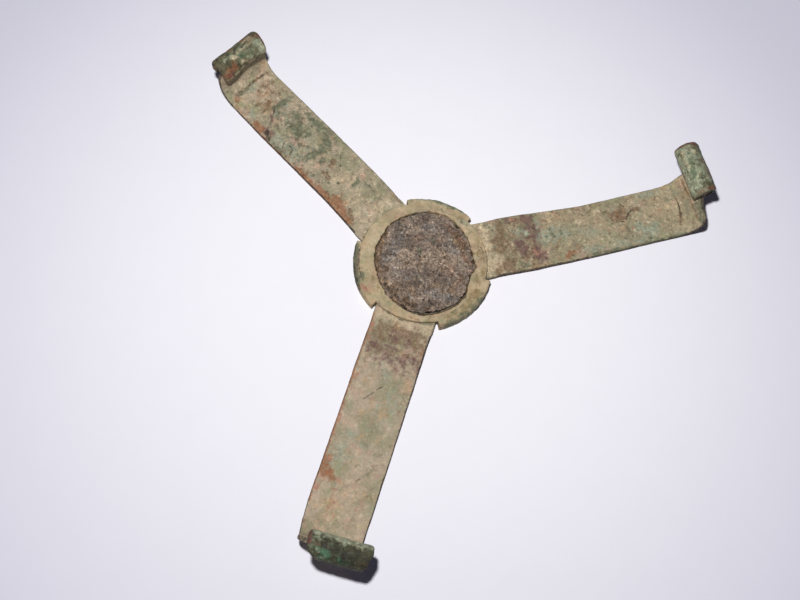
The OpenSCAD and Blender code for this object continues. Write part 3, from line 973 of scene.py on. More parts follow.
def build_arm(name, size, material):
    """One strip arm, dented and worn, with its deposits."""
    arm = ARMS[name]
    stations = strip_stations(size)
    section = strip_section(size)
    count, around = len(stations), len(section)
    _, edge_off, height = section.T
    free = smoothstep(*HUB_FREE, stations)
    seat = smoothstep(*SLEEVE_SEAT, stations[-1] - stations)
    along, across, inset = strip_plan(name, size, stations, section, free, seat)
    places = np.stack([along, across], -1)
    edge = smoothstep(*EDGE_SHADE_FADE, inset)
    wall = np.tile(np.abs(edge_off) > WALL_OFFSET, count) * np.repeat(free, around)
    fields = strip_deposits(name, size, places, edge, wall)

    relief = strip_relief(places, arm["turn"], fields, edge, wall)
    relief = relief * np.repeat(free * (SEAT_RELIEF + (1 - SEAT_RELIEF) * seat), around)
    lift = np.tile(height, count) + relief * np.tile(np.where(height > 0, 1.0, -UNDERSIDE_RELIEF), count)
    out, up, normal_out, normal_up = strip_path(size, arm["lean"], stations)
    local_x = np.repeat(out - stations, around) + along + lift * np.repeat(normal_out, around)
    local_z = np.repeat(up, around) + lift * np.repeat(normal_up, around)
    x, y = turned(local_x, across, math.radians(arm["turn"]))
    points = np.stack([x, y, np.maximum(local_z, 0.0)], -1)
    faces = strip_faces(count)
    make_piece(f"{name}_arm_strip", points, faces, fields, material, "stand", f"{name}_arm")


# Mesh of a sleeve: points round each skin and along it
SLEEVE_AROUND = 70
SLEEVE_ALONG = 60
# Gap between an upturned end and each lip of its sleeve's solid
LIP_GAP = 0.06
# What a sleeve's seed adds to its arm's
SLEEVE_SEED = 7.0
# Ragged cut at a sleeve's ends: depth, mean loss, grain size, octaves
RAGGED_DEPTH, RAGGED_LOSS = 0.28, 0.14
RAGGED_GRAIN, RAGGED_OCTAVES = 1.1, 3
# How fast the noise of that cut runs round a sleeve, and its row for each end
RAGGED_PITCH = 3
RAGGED_ROWS = (0.0, 9.0)
# Rounding of the outer skin at a sleeve's ends: length and drop
END_ROUND = 1.1
END_DROP = 0.42
# Turn from the crown, in radians, over which the outer corner of an end runs back
CORNER_TURN = (0.35, 1.5)
# Arc from the crown over which a sleeve's relief fades out towards the slit
SLEEVE_RELIEF_FADE = (8.6, 6.4)
# Dents of both skins and crust of the outer one: depth, grain size, octaves
SLEEVE_DENTS = ((0.16, 4.5, 3),)
SLEEVE_CRUST = ((0.05, 1.1, 4),)
# Mean loss of both skins
SLEEVE_LOSS = 0.05
# What the mint bloom adds to the crust where it is strong
BLOOM_HEIGHT = 0.05
BLOOM_RANGE = (0.5, 0.8)
# Where an inner lip starts to stand off and is full: along the sleeve, and radians from the crown
SPLAY_ALONG = (-2.0, 6.5)
SPLAY_TURN = (-1.1, -2.4)
# Earth packed in a sleeve's ends: its depth, and the height of the slot in it that the strip slides in
EARTH_DEPTH = 3.0
EARTH_LEVEL = 0.2
# How far the earth lies behind the cut, bites into the wall and keeps off the lips
EARTH_RECESS = 0.22
EARTH_BITE = 0.22
EARTH_LIP = 0.1
# Lumps of the earth: depth, grain size, octaves
EARTH_LUMPS = ((0.16, 1.1, 3),)
# Mesh of the earth: points round it, and from the wall to the slot
EARTH_AROUND = 44
EARTH_ACROSS = 6
# Deposits on the earth
EARTH_TONES = {"pale": 0.35, "umber": 0.6, "green": 0.3}


def sleeve_frame(size, arm):
    """Place of a sleeve: local X away from the upturned end's face, Y along the sleeve, Z up the end."""
    lean = math.radians(arm["lean"])
    straight = size["upturn"] - size["bend_radius"] * (math.pi / 2 - lean)
    half_slit = size["strip_thickness"] / 2 + LIP_GAP
    lip_drop = size["sleeve_radius"] - math.sqrt(size["sleeve_radius"] ** 2 - half_slit**2)
    rise = straight - size["sleeve_grip"] + size["sleeve_radius"] - lip_drop
    bend_z = size["strip_thickness"] / 2 + size["bend_radius"]
    return (
        Matrix.Rotation(math.radians(arm["turn"]), 4, "Z")
        @ Matrix.Translation((size["bend_start"], 0, bend_z))
        @ Matrix.Rotation(lean, 4, "Y")
        @ Matrix.Translation((size["bend_radius"], arm["slide"], rise))
    )


def pack_earth(radius, slot, turns, ends, side, seed):
    """Closed lump of earth with a slot, in the end of a tube cut at places round it: points and faces."""
    widest = math.pi - math.asin((slot + EARTH_LIP) / radius)
    arc = np.linspace(-widest, widest, EARTH_AROUND)
    outer = np.stack([radius * np.sin(arc), radius * np.cos(arc)], -1)
    leg = EARTH_LEVEL - radius * math.cos(widest)
    path = np.linspace(0, 2 * leg + 2 * slot, EARTH_AROUND)
    slot_x = np.clip(path - leg - slot, -slot, slot)
    slot_z = EARTH_LEVEL - np.clip(leg - path, 0, None) - np.clip(path - leg - 2 * slot, 0, None)
    inner = np.stack([slot_x, slot_z], -1)
    cut = np.interp(arc, turns, ends)
    inner_cut = np.interp(np.arctan2(slot_x, slot_z), turns, ends)
    share = np.linspace(0, 1, EARTH_ACROSS)
    spread = outer[:, None] * (1 - share[:, None]) + inner[:, None] * share[:, None]
    front = cut[:, None] * (1 - share) + inner_cut[:, None] * share - side * EARTH_RECESS
    lumps = layered_grain([(*p, seed) for p in spread.reshape(-1, 2)], EARTH_LUMPS).reshape(front.shape)
    front[:, 1:-1] += side * lumps[:, 1:-1]
    back = np.broadcast_to(cut[:, None] - side * EARTH_DEPTH, front.shape)
    faced, backed = (np.stack([spread[..., 0], along, spread[..., 1]], -1) for along in (front, back))
    loops = np.concatenate([faced, backed[:, ::-1]], axis=1)
    around = 2 * EARTH_ACROSS
    last = (EARTH_AROUND - 1) * around
    faces = ring_faces(EARTH_AROUND, around)
    faces += [tuple(range(around))[::-1], tuple(range(last, last + around))]
    return loops.reshape(-1, 3), faces


def skin_turns(size, radius):
    """Turns from the crown, in radians, round a sleeve's skin from lip to lip."""
    return np.linspace(-1, 1, SLEEVE_AROUND) * (math.pi - math.asin(size["sleeve_slit"] / 2 / radius))


def skin_ends(size, worn, turns, seed):
    """Places along a sleeve where the two ends of its skin are cut, round it."""
    under = (1 - np.cos(turns)) / 2
    corner = smoothstep(*CORNER_TURN, turns)
    ends = []
    for end, side in enumerate((-1, 1)):
        spots = [(RAGGED_PITCH * t, seed, RAGGED_ROWS[end]) for t in np.linspace(-1, 1, SLEEVE_AROUND)]
        ragged = RAGGED_DEPTH * grain(spots, RAGGED_GRAIN, RAGGED_OCTAVES) - RAGGED_LOSS
        back = worn["undercut"][end] * under + worn["corner"][end] * corner - worn["grow"][end]
        slanted = worn["slant"][end] * size["sleeve_radius"] * np.sin(turns)
        ends.append(side * (size["sleeve_length"] / 2 + ragged - back) + slanted)
    return ends


def sleeve_relief(places, seed, bloom, outside):
    """Height of a sleeve's dents, and of the crust on its outer skin."""
    spots = np.column_stack([places, np.full(len(places), seed)])
    fade = smoothstep(*SLEEVE_RELIEF_FADE, np.abs(places[:, 1]))
    crust = layered_grain(spots, SLEEVE_CRUST) + BLOOM_HEIGHT * smoothstep(*BLOOM_RANGE, bloom)
    return fade * (layered_grain(spots, SLEEVE_DENTS) - SLEEVE_LOSS) + np.where(outside, fade * crust, 0)


def sleeve_faces():
    """Quads of a sleeve's two skins, of its ends and of its lips."""
    inner = SLEEVE_ALONG * SLEEVE_AROUND
    faces = ring_faces(SLEEVE_ALONG, SLEEVE_AROUND, closed=False)
    faces += counted_from(inner, faces)
    for j in range(SLEEVE_AROUND - 1):
        for row in (0, SLEEVE_ALONG - 1):
            k = row * SLEEVE_AROUND + j
            faces.append((k, k + 1, inner + k + 1, inner + k))
    for row in range(SLEEVE_ALONG - 1):
        for j in (0, SLEEVE_AROUND - 1):
            k = row * SLEEVE_AROUND + j
            faces.append((k, k + SLEEVE_AROUND, inner + k + SLEEVE_AROUND, inner + k))
    return faces


def build_sleeve(name, size, material):
    """One slit tube of thin sheet, dented, with ragged ends that are packed with earth."""
    arm, worn = ARMS[name], SLEEVE_WEAR[name]
    seed = arm["turn"] + SLEEVE_SEED
    outer, inner = size["sleeve_radius"], size["sleeve_radius"] - size["sleeve_wall"]
    half_length = size["sleeve_length"] / 2
    share = np.linspace(-1, 1, SLEEVE_ALONG)
    skins = []
    for radius in (outer, inner):
        turns = skin_turns(size, radius)
        low, high = skin_ends(size, worn, turns, seed)
        along = low + (share[:, None] + 1) / 2 * (high - low)
        skins.append((radius, np.tile(turns, SLEEVE_ALONG), along.ravel()))
    places = np.concatenate([np.stack([along, turns * outer], -1) for _, turns, along in skins])
    outside = np.repeat([True, False], SLEEVE_ALONG * SLEEVE_AROUND)
    fields = lay(places, SLEEVE_STROKES[name])
    # The whole inner skin takes the grime colour: painted shade inside the sleeve
    deepen(fields, "grime_and_shade", ~outside)
    relief = sleeve_relief(places, seed, fields["mint"], outside)

    past = np.clip((np.abs(share) * half_length - half_length + END_ROUND) / END_ROUND, 0, 1)
    rounding = np.repeat(END_DROP * (1 - np.sqrt(1 - past**2)), SLEEVE_AROUND)
    points = []
    for (radius, turns, along), raised in zip(skins, np.split(relief, 2)):
        r = radius + raised + worn["flare"] * along
        if radius == outer:
            r += worn["crust"] - rounding
        lip_off = worn["splay"] * smoothstep(*SPLAY_ALONG, along) * smoothstep(*SPLAY_TURN, turns)
        points.append(np.stack([r * np.sin(turns) - lip_off, along, r * np.cos(turns)], -1))

    faces = sleeve_faces()
    inner_turns = skin_turns(size, inner)
    for side, cut in zip((-1, 1), skin_ends(size, worn, inner_turns, seed)):
        radius = inner + EARTH_BITE + worn["flare"] * side * half_length
        lump, lump_faces = pack_earth(radius, size["sleeve_slit"] / 2, inner_turns, cut, side, seed + side)
        faces += counted_from(sum(len(part) for part in points), lump_faces)
        points.append(lump)
        for deposit, values in fields.items():
            fields[deposit] = np.append(values, np.full(len(lump), EARTH_TONES.get(deposit, 0.0)))
    place = sleeve_frame(size, arm) @ Matrix.Rotation(math.radians(worn["twist"]), 4, "Z")
    points = np.array([place @ Vector(p) for p in np.concatenate(points)])
    body, replaced = f"{name}_tip", f"{name}_sleeve"
    make_piece(f"{name}_sleeve_tube", points, faces, fields, material, body, replaced)


def edge_radius(outline, angles):
    """Radius of a worn outline at angles in radians."""
    degrees, radii = np.array(outline, float).T
    return np.interp(np.degrees(angles) % 360, degrees, radii)


# Size of the faces in the hub ring's fine mesh
RING_VOXEL = 0.2
# Bands of the hub ring by height, each from where it starts to where it is full
RING_HEIGHTS = {
    "cover": (1.9, 2.5),
    "top": (2.35, 2.9),
    "over_arm": (2.9, 2.5),
    "gap": (2.7, 2.4),
    "off_table": (0.05, 0.4),
}
FLUSH_HEIGHT = (2.9, 3.25)
# Bands by distance from the hub axis
GAP_RADIUS = (15.6, 15.0)
BORE_WEAR_RADIUS = (16.0, 13.9)
# Bands by distance past the flat top's edge, and past the bore
RIM_START = (-0.05, 0.15)
SHOULDER_START = (0.0, 0.6)
BORE_SHADE_START = (0.5, 0.1)
# Stretch of the rim that lies a step lower: its start and its end, each from nothing to full
LEFT_RIM = ((168, 178), (243, 228))
# How far the rim's ends stand past their solid's: angle, turn
RIM_END_SHIFT = (
    (0, 0.0), (104, 0.0), (119, 1.6), (150, 0.0),
    (222, 0.0), (239, 1.6), (270, 0.0), (360, 0.0),
)
# Lines of painted shade at that step and where the ring lies over the arms
STEP_SHADE, STEP_WIDTH = 0.6, 0.25
ARM_LINE_SHADE, ARM_LINE_WIDTH = 0.75, 0.3
# Painted shade in umber on the bore's wall and inner edge
BORE_SHADE = 0.55
# Dents of the hub ring, and chips of its bore: depth, grain size, octaves
RING_DENTS = ((0.09, 4.0, 3), (0.09, 1.2, 4))
BORE_CHIPS = ((0.2, 1.1, 3),)
# Circle on which the noise of those chips is read
BORE_CHIP_RADIUS, BORE_CHIP_LEVEL = 14, 2.0
# Pits of the hub ring: depth, grain size, seed
RING_PITS = (0.12, 1.0, 3.0)
# Rise of the rim towards the flat top, and its drop at the step
FLUSH_RISE = 0.1
STEP_DROP = 0.12


def fine_ring():
    """The hub ring's solid as a fine and even mesh in millimetres: points, normals and faces."""
    blank = bpy.data.objects.new("ring_blank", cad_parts["hub_ring"].data.copy())
    blank.data.transform(Matrix.Scale(1 / MM, 4))
    bpy.context.scene.collection.objects.link(blank)
    remesh = blank.modifiers.new("Fine Mesh", "REMESH")
    remesh.mode = "VOXEL"
    remesh.voxel_size = RING_VOXEL
    fine = bpy.data.meshes.new_from_object(blank.evaluated_get(bpy.context.evaluated_depsgraph_get()))
    points = np.zeros(len(fine.vertices) * 3)
    normals = np.zeros(len(fine.vertices) * 3)
    fine.vertices.foreach_get("co", points)
    fine.vertex_normals.foreach_get("vector", normals)
    faces = [tuple(p.vertices) for p in fine.polygons]
    bpy.data.objects.remove(blank)
    return points.reshape(-1, 3), normals.reshape(-1, 3), faces


def build_ring(size, material):
    """The hub ring from its solid, remeshed finely, then worn, chipped and crusted."""
    points, normals, faces = fine_ring()
    radius = np.hypot(points[:, 0], points[:, 1])
    angle = np.arctan2(points[:, 1], points[:, 0])
    degrees = np.degrees(angle) % 360
    past_flat = radius - size["ring_flat"]
    at = {name: smoothstep(*heights, points[:, 2]) for name, heights in RING_HEIGHTS.items()}
    rim = smoothstep(*RIM_START, past_flat)
    left_rim = smoothstep(*LEFT_RIM[0], degrees) * smoothstep(*LEFT_RIM[1], degrees)
    step = np.exp(-((past_flat / STEP_WIDTH) ** 2)) * left_rim

    fields = lay(points[:, :2], HUB_STROKES)
    arm_line = np.exp(-((past_flat / ARM_LINE_WIDTH) ** 2)) * at["over_arm"]
    deepen(fields, "grime_and_shade", STEP_SHADE * step, ARM_LINE_SHADE * arm_line)
    # Painted shade in the gap low in the ring near the bore, where the arms pass under it
    deepen(fields, "grime_and_shade", at["gap"] * smoothstep(*GAP_RADIUS, radius))
    # Umber on the bore's wall and inner edge is painted shade
    inside = smoothstep(*BORE_SHADE_START, radius - size["ring_bore"]) * at["cover"]
    deepen(fields, "umber", BORE_SHADE * inside)

    wear = layered_grain(points, RING_DENTS) - pitting(points, *RING_PITS)
    worn = np.maximum(at["top"], smoothstep(*SHOULDER_START, past_flat) * at["off_table"])
    points = points + normals * (wear * worn)[:, None]
    carried = np.radians(np.interp(degrees, *np.array(RIM_END_SHIFT, float).T)) * rim
    points[:, :2] = np.stack(turned(points[:, 0], points[:, 1], carried), -1)
    flush = smoothstep(*FLUSH_HEIGHT, points[:, 2]) * rim * (1 - left_rim)
    points[:, 2] += FLUSH_RISE * flush - STEP_DROP * step * at["top"]
    chips = layered_grain(on_circle(BORE_CHIP_RADIUS, angle, BORE_CHIP_LEVEL), BORE_CHIPS)
    shift = edge_radius(BORE_EDGE, angle) + chips - size["ring_bore"]
    shift = shift * smoothstep(*BORE_WEAR_RADIUS, radius) * at["cover"]
    points[:, :2] *= ((radius + shift) / radius)[:, None]
    points[:, 2] = np.maximum(points[:, 2], 0.0)
    make_piece("hub_ring_casting", points, faces, fields, material, "stand", "hub_ring")


# Mesh of the core: rings of its crown, share of the radius at the innermost one, and points round it
CORE_RINGS = 74
CORE_INNERMOST = 0.004
CORE_AROUND = 340
# Rings below the crown that follow the broken edge: inset, height
CORE_SIDE = ((0.0, 2.75), (0.35, 2.3))
# Plain body of the core: radius, and heights of its rings
CORE_BODY = 13.6
CORE_BODY_LEVELS = (2.1, 0.0)
# Chips of the broken edge: depth, grain size, octaves
CORE_CHIPS = ((0.42, 1.2, 4),)
# Circle on which the noise of those chips is read
CORE_CHIP_RADIUS, CORE_CHIP_LEVEL = 13, 4.0
# Room that is always left between the core and the bore
CORE_ROOM = 0.04
# Fall of the crown at its edge, over shares of the radius
EDGE_FALL = 0.75
EDGE_FALL_SHARE = (0.78, 1.0)
# Fall of the crown from its middle to its edge all over
CROWN_SAG = 0.25
# Ridges of the crust, where their noise is nearer zero than this level: height, grain size, octaves, seed
RIDGE_LEVEL = 0.45
RIDGE_HEIGHT, RIDGE_GRAIN, RIDGE_OCTAVES, RIDGE_SEED = 0.42, 2.1, 4, 2.0
# Noise that bends the ridges: reach, grain size, octaves, seed
BEND_REACH, BEND_GRAIN, BEND_OCTAVES, BEND_SEED = 0.5, 2.4, 2, 4.0
# Lumps and grit of the crust: height, grain size, octaves and, for the grit, a seed
LUMP_HEIGHT, LUMP_GRAIN, LUMP_OCTAVES = 0.24, 3.6, 3
GRIT_HEIGHT, GRIT_GRAIN, GRIT_OCTAVES, GRIT_SEED = 0.14, 0.55, 2, 8.0
# Mean loss of the crust
CRUST_LOSS = 0.06
# Share of the crust that is gone at the edge, over shares of the radius
EDGE_LEVELLING = 0.5
EDGE_LEVELLING_SHARE = (0.95, 1.0)
# Heights of the crust at which hollows and raised parts start and are full, and the deposits on them
HOLLOW_RANGE = (0.02, -0.28)
RAISED_RANGE = (0.06, 0.34)
HOLLOW_GRIME, HOLLOW_UMBER, RAISED_PALE = 0.45, 0.7, 0.85
# Stretch where the gap round the core is open to view, where the core's side gets full black painted shadow:
# its start and its end, each from nothing to full
OPEN_GAP = ((258, 268), (346, 338))
# Painted shade on the core's side elsewhere, as a share of that black
SIDE_SHADE = 0.2


def core_crust(spots):
    """Height of the crust on the core, before it levels out at the edge."""
    bent = spots + BEND_REACH * grain(spots, BEND_GRAIN, BEND_OCTAVES, BEND_SEED)[:, None]
    ridges = RIDGE_LEVEL - np.abs(grain(bent, RIDGE_GRAIN, RIDGE_OCTAVES, RIDGE_SEED))
    lumps = LUMP_HEIGHT * grain(spots, LUMP_GRAIN, LUMP_OCTAVES)
    grit = GRIT_HEIGHT * grain(spots, GRIT_GRAIN, GRIT_OCTAVES, GRIT_SEED)
    return lumps + RIDGE_HEIGHT * ridges + grit - CRUST_LOSS


def core_deposits(points, crust):
    """Strokes on the core, with grime and umber in its hollows, painted shade in umber and black down its
    side, and pale raised crust.
    """
    fields = lay(points[:, :2], CORE_STROKES)
    no_crust = np.zeros(len(points) - len(crust))
    below = np.append(np.zeros(len(crust)), no_crust + 1)
    hollow = np.append(smoothstep(*HOLLOW_RANGE, crust), no_crust)
    raised = np.append(smoothstep(*RAISED_RANGE, crust), no_crust)
    degrees = np.degrees(np.arctan2(points[:, 1], points[:, 0])) % 360
    open_gap = smoothstep(*OPEN_GAP[0], degrees) * smoothstep(*OPEN_GAP[1], degrees)
    # Painted shade down the core's side, black where the gap is open to view
    side_shade = below * (SIDE_SHADE + (1 - SIDE_SHADE) * open_gap)
    deepen(fields, "grime_and_shade", HOLLOW_GRIME * hollow, side_shade)
    deepen(fields, "umber", HOLLOW_UMBER * hollow, below)
    deepen(fields, "pale", RAISED_PALE * raised)
    return fields


def build_core(size, material):
    """The rusted stump in the bore: a rough crown with a chipped edge, and a plain side below it."""
    turns = np.linspace(0, 2 * math.pi, CORE_AROUND, endpoint=False)
    chips = layered_grain(on_circle(CORE_CHIP_RADIUS, turns, CORE_CHIP_LEVEL), CORE_CHIPS)
    rim = np.minimum(edge_radius(CORE_EDGE, turns) + chips, edge_radius(BORE_EDGE, turns) - CORE_ROOM)
    share = np.linspace(CORE_INNERMOST, 1, CORE_RINGS)
    radius = share[:, None] * rim
    flat = np.stack([radius * np.cos(turns), radius * np.sin(turns), np.zeros(radius.shape)], -1)
    levelled = 1 - EDGE_LEVELLING * smoothstep(*EDGE_LEVELLING_SHARE, share)
    crust = core_crust(flat.reshape(-1, 3)).reshape(radius.shape) * levelled[:, None]
    crown = size["ring_top"] + size["core_crown"] - EDGE_FALL * smoothstep(*EDGE_FALL_SHARE, share)
    crown = crown - CROWN_SAG * share**2
    rings = [(radius[i], crown[i] + crust[i]) for i in range(CORE_RINGS)]
    rings += [(rim - inset, np.full(CORE_AROUND, level)) for inset, level in CORE_SIDE]
    rings += [(CORE_BODY, np.full(CORE_AROUND, level)) for level in CORE_BODY_LEVELS]
    middles = [(0, 0, rings[0][1].mean()), (0, 0, 0)]
    points = [np.stack([r * np.cos(turns), r * np.sin(turns), level], -1) for r, level in rings]
    points = np.concatenate([*points, middles])

    faces = ring_faces(len(rings), CORE_AROUND)
    last = (len(rings) - 1) * CORE_AROUND
    top, bottom = last + CORE_AROUND, last + CORE_AROUND + 1
    for j in range(CORE_AROUND):
        k = (j + 1) % CORE_AROUND
        faces += [(j, k, top), (last + k, last + j, bottom)]
    fields = core_deposits(points, crust.ravel())
    make_piece("core_stump", points, faces, fields, material, "stand", "core_plug")


# Camera: place, view direction, and the picture's right and down
CAMERA_PLACE = (6.71, -80.64, 189.40)
CAMERA_FORWARD = (-0.0463, 0.3442, -0.9378)
CAMERA_RIGHT = (0.9501, 0.3050, 0.0651)
CAMERA_DOWN = (0.3084, -0.8880, -0.3411)
# Focal length, width of the sensor, and nearest distance that the camera shows
CAMERA_LENS = 34.97
CAMERA_SENSOR = 36.0
CAMERA_NEAR = 10.0
# Place of the lamp, beside the camera
KEY_PLACE = (-19.0, -46.5, 202.0)
# Power of a point lamp, with no fall-off, that shows a white sheet below it as white
POINT_LAMP_WATTS = 4 * math.pi**2
# Paper: half its side, and how far it lies below the table's plane
PAPER_HALF = 3000.0
PAPER_DROP = 0.1
# Size of the paper's tooth, and its lightness in the hollows
PAPER_TOOTH = 9.0
TOOTH_SHADE = 0.97
# Centre of the painted pool of light on the paper, and the distances from it over which the paper's colour
# darkens as painted fall-off of the flash
PAPER_CENTRE = (-4.0, -5.0, 0.0)
PAPER_NEAR, PAPER_FAR = 23.0, 226.0
# Distances over which the paper passes into the plain backdrop
PAPER_FADE, PAPER_END = 105.0, 220.0


def seen_rays(tree):
    """1 for what the camera sees, straight or by way of another surface, and 0 for light on the stand."""
    path = node(tree, "ShaderNodeLightPath").outputs
    seen = path["Is Camera Ray"]
    for other in ("Is Glossy Ray", "Is Transmission Ray"):
        seen = maths(tree, "MAXIMUM", seen, path[other])
    return seen


def paper_material(palette):
    """White paper with a faint tooth, its colour darkened away from the stand as painted fall-off of the
    flash, and then plain as the backdrop.
    """
    material = bpy.data.materials.new("paper")
    tree = blank_tree(material)
    place = node(tree, "ShaderNodeTexCoord").outputs["Object"]
    centre = Vector(PAPER_CENTRE) * MM
    away = node(tree, "ShaderNodeVectorMath", {0: place, 1: centre}, operation="DISTANCE").outputs["Value"]
    tooth = mottle(tree, place, grain_size=PAPER_TOOTH, detail=4.0)
    hollows = (*(TOOTH_SHADE * c for c in palette["paper"][:3]), 1.0)
    paper = mixed(tree, tooth, palette["paper"], hollows)
    paper = mixed(tree, ramp(tree, away, PAPER_NEAR * MM, PAPER_FAR * MM), paper, palette["paper_far"])
    lit = node(tree, "ShaderNodeBsdfDiffuse", {"Color": paper, "Roughness": 0.5}).outputs[0]
    plain = node(tree, "ShaderNodeEmission", {"Color": palette["backdrop"], "Strength": 1.0}).outputs[0]
    fade = ramp(tree, away, PAPER_FADE * MM, PAPER_END * MM)
    share = maths(tree, "MULTIPLY", fade, seen_rays(tree))
    surface = node(tree, "ShaderNodeMixShader", {0: share, 1: lit, 2: plain}).outputs[0]
    node(tree, "ShaderNodeOutputMaterial", {"Surface": surface})
    return material


def lay_paper(scene, palette):
    """Sheet of paper under the stand."""
    reach = PAPER_HALF * MM
    corners = [(-reach, -reach, 0), (reach, -reach, 0), (reach, reach, 0), (-reach, reach, 0)]
    mesh = bpy.data.meshes.new("paper_sheet")
    mesh.from_pydata(corners, [], [(0, 1, 2, 3)])
    mesh.materials.append(paper_material(palette))
    floor = bpy.data.objects.new("paper_sheet", mesh)
    floor.location.z = -PAPER_DROP * MM
    scene.collection.objects.link(floor)


def hang_lamp(scene):
    """Lamp beside the camera, as a flash is, with no fall-off."""
    lamp = bpy.data.lights.new("key", "POINT")
    lamp.energy = POINT_LAMP_WATTS * scene.stand_stage.key_level
    lamp.shadow_soft_size = scene.stand_stage.key_radius
    tree = blank_tree(lamp)
    even = node(tree, "ShaderNodeLightFalloff", {"Strength": 1.0})
    emission = node(tree, "ShaderNodeEmission", {"Strength": even.outputs["Constant"]})
    node(tree, "ShaderNodeOutputLight", {"Surface": emission.outputs[0]})
    key = bpy.data.objects.new("key", lamp)
    key.location = Vector(KEY_PLACE) * MM
    scene.collection.objects.link(key)


def fill_room(scene, palette):
    """Faint light from all round, and the pale backdrop that the camera sees."""
    world = bpy.data.worlds.new("room")
    tree = blank_tree(world)
    seen = seen_rays(tree)
    level = ramp(tree, seen, low=0.0, high=1.0, start=scene.stand_stage.fill_level)
    tone = mixed(tree, seen, palette["room"], palette["backdrop"])
    sky = node(tree, "ShaderNodeBackground", {"Color": tone, "Strength": level})
    node(tree, "ShaderNodeOutputWorld", {"Surface": sky.outputs[0]})
    scene.world = world


def set_camera(scene):
    """Camera at the photograph's viewing angle."""
    lens = bpy.data.cameras.new("view")
    lens.lens = CAMERA_LENS
    lens.sensor_width = CAMERA_SENSOR
    lens.sensor_fit = "HORIZONTAL"
    lens.clip_start = CAMERA_NEAR * MM
    camera = bpy.data.objects.new("view", lens)
    axes = Matrix((CAMERA_RIGHT, [-d for d in CAMERA_DOWN], [-f for f in CAMERA_FORWARD])).transposed()
    camera.matrix_world = Matrix.Translation(Vector(CAMERA_PLACE) * MM) @ axes.to_4x4()
    scene.collection.objects.link(camera)
    scene.camera = camera


class BURNERSTAND_OT_arms(bpy.types.Operator):
    """Build the three strip arms"""

    bl_idname = "burner_stand.arms"
    bl_label = "Strip Arms"
    bl_options = {"REGISTER", "UNDO"}

    def execute(self, context):
        palette = finish()
        for name, arm in ARMS.items():
            film = palette[f"{name}_soil"]
            material = earthy_metal(f"{name}_strip_soil", film, palette["olive"], palette, arm["grit"])
            build_arm(name, sizes(), material)
        return {"FINISHED"}


class BURNERSTAND_OT_hub(bpy.types.Operator):
    """Build the hub ring and finish the base ring under it"""

    bl_idname = "burner_stand.hub"
    bl_label = "Hub Rings"
    bl_options = {"REGISTER", "UNDO"}

    def execute(self, context):
        palette = finish()
        material = earthy_metal(
            "earth_coated_ring",
            palette["ring"],
            palette["ring_olive"],
            {**palette, "umber": palette["ring_umber"]},
            grit=0.45,
            flecks_pits=(1.3, 0.35),
        )
        build_ring(sizes(), material)
        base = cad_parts["base_ring"]
        base.data.materials.clear()
        base.data.materials.append(material)
        return {"FINISHED"}


class BURNERSTAND_OT_core(bpy.types.Operator):
    """Build the rusted core"""

    bl_idname = "burner_stand.core"
    bl_label = "Core"
    bl_options = {"REGISTER", "UNDO"}

    def execute(self, context):
        palette = finish()
        own_tones = ("pale", "mint", "rust", "ochre", "pink", "leaf")
        material = earthy_metal(
            "rusted_crust",
            palette["core"],
            palette["core_dark"],
            {**palette, **{tone: palette[f"core_{tone}"] for tone in own_tones}},
            grit=0.75,
            flecks_pits=(2.2, 0.06),
            coarseness=0.9,
            wrinkles=0.5,
            roughness=(0.85, 1.0),
            bump=0.42,
        )
        build_core(sizes(), material)
        return {"FINISHED"}


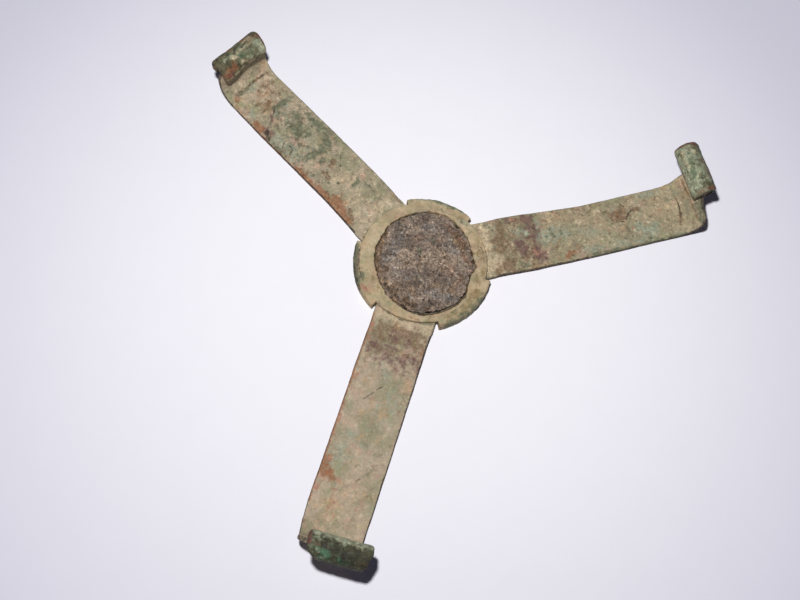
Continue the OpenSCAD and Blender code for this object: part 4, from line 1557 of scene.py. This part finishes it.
class BURNERSTAND_OT_sleeves(bpy.types.Operator):
    """Build the three slit sleeves"""

    bl_idname = "burner_stand.sleeves"
    bl_label = "Sleeves"
    bl_options = {"REGISTER", "UNDO"}

    def execute(self, context):
        palette = finish()
        patina = {
            **palette,
            "mint": palette["sleeve_mint"],
            "green": palette["sleeve_leaf"],
            "leaf": palette["sleeve_leaf"],
            "rust": palette["sleeve_rust"],
            "red": palette["sleeve_red"],
            "ochre": palette["umber"],
            "pink": palette["umber"],
        }
        plain = earthy_metal(
            "sleeve_patina",
            palette["sleeve"],
            palette["sleeve_olive"],
            patina,
            grit=0.75,
            flecks_pits=(1.8, 0.14),
            roughness=(0.5, 0.9),
        )
        bright_patina = {
            **patina,
            "green": palette["malachite"],
            "ochre": palette["sleeve_olive"],
            "grime_and_shade": palette["sleeve_black"],
        }
        bright = earthy_metal(
            "sleeve_malachite",
            palette["sleeve_olive"],
            palette["sleeve_black"],
            bright_patina,
            grit=0.7,
            flecks_pits=(1.9, 0.25),
            roughness=(0.5, 0.9),
        )
        for name in ARMS:
            build_sleeve(name, sizes(), bright if name == "front" else plain)
        return {"FINISHED"}


class BURNERSTAND_OT_stage(bpy.types.Operator):
    """Set the paper, the light and the camera"""

    bl_idname = "burner_stand.stage"
    bl_label = "Stage"
    bl_options = {"REGISTER", "UNDO"}

    def execute(self, context):
        scene = context.scene
        scene.view_settings.view_transform = "Standard"
        palette = finish()
        lay_paper(scene, palette)
        hang_lamp(scene)
        fill_room(scene, palette)
        set_camera(scene)
        return {"FINISHED"}


class BURNERSTAND_PT_panel(bpy.types.Panel):
    """Lists the steps that build the stand"""

    bl_idname = "BURNERSTAND_PT_panel"
    bl_label = "Burner Stand"
    bl_space_type = "VIEW_3D"
    bl_region_type = "UI"
    bl_category = "Burner Stand"

    def draw(self, context):
        for operator in OPERATORS:
            self.layout.operator(operator.bl_idname)
        for group in GROUPS:
            column = self.layout.column()
            column.label(text=group.__doc__)
            for key in group.__annotations__:
                column.prop(getattr(context.scene, GROUPS[group]), key)


GROUPS = {StandSizes: "stand_sizes", StandFinish: "stand_finish", StandStage: "stand_stage"}
OPERATORS = (
    BURNERSTAND_OT_arms,
    BURNERSTAND_OT_hub,
    BURNERSTAND_OT_core,
    BURNERSTAND_OT_sleeves,
    BURNERSTAND_OT_stage,
)
CLASSES = (*GROUPS, *OPERATORS, BURNERSTAND_PT_panel)


def register():
    """Adds the classes and hangs the settings on the scene."""
    for each in CLASSES:
        bpy.utils.register_class(each)
    for group, attribute in GROUPS.items():
        setattr(bpy.types.Scene, attribute, PointerProperty(type=group))


def unregister():
    """Takes away what register added."""
    for attribute in GROUPS.values():
        delattr(bpy.types.Scene, attribute)
    for each in reversed(CLASSES):
        bpy.utils.unregister_class(each)


def main():
    """Builds every piece and the stage."""
    register()
    bpy.ops.burner_stand.arms()
    bpy.ops.burner_stand.hub()
    bpy.ops.burner_stand.core()
    bpy.ops.burner_stand.sleeves()
    bpy.ops.burner_stand.stage()
    bpy.context.view_layer.update()


if __name__ == "__main__":
    main()
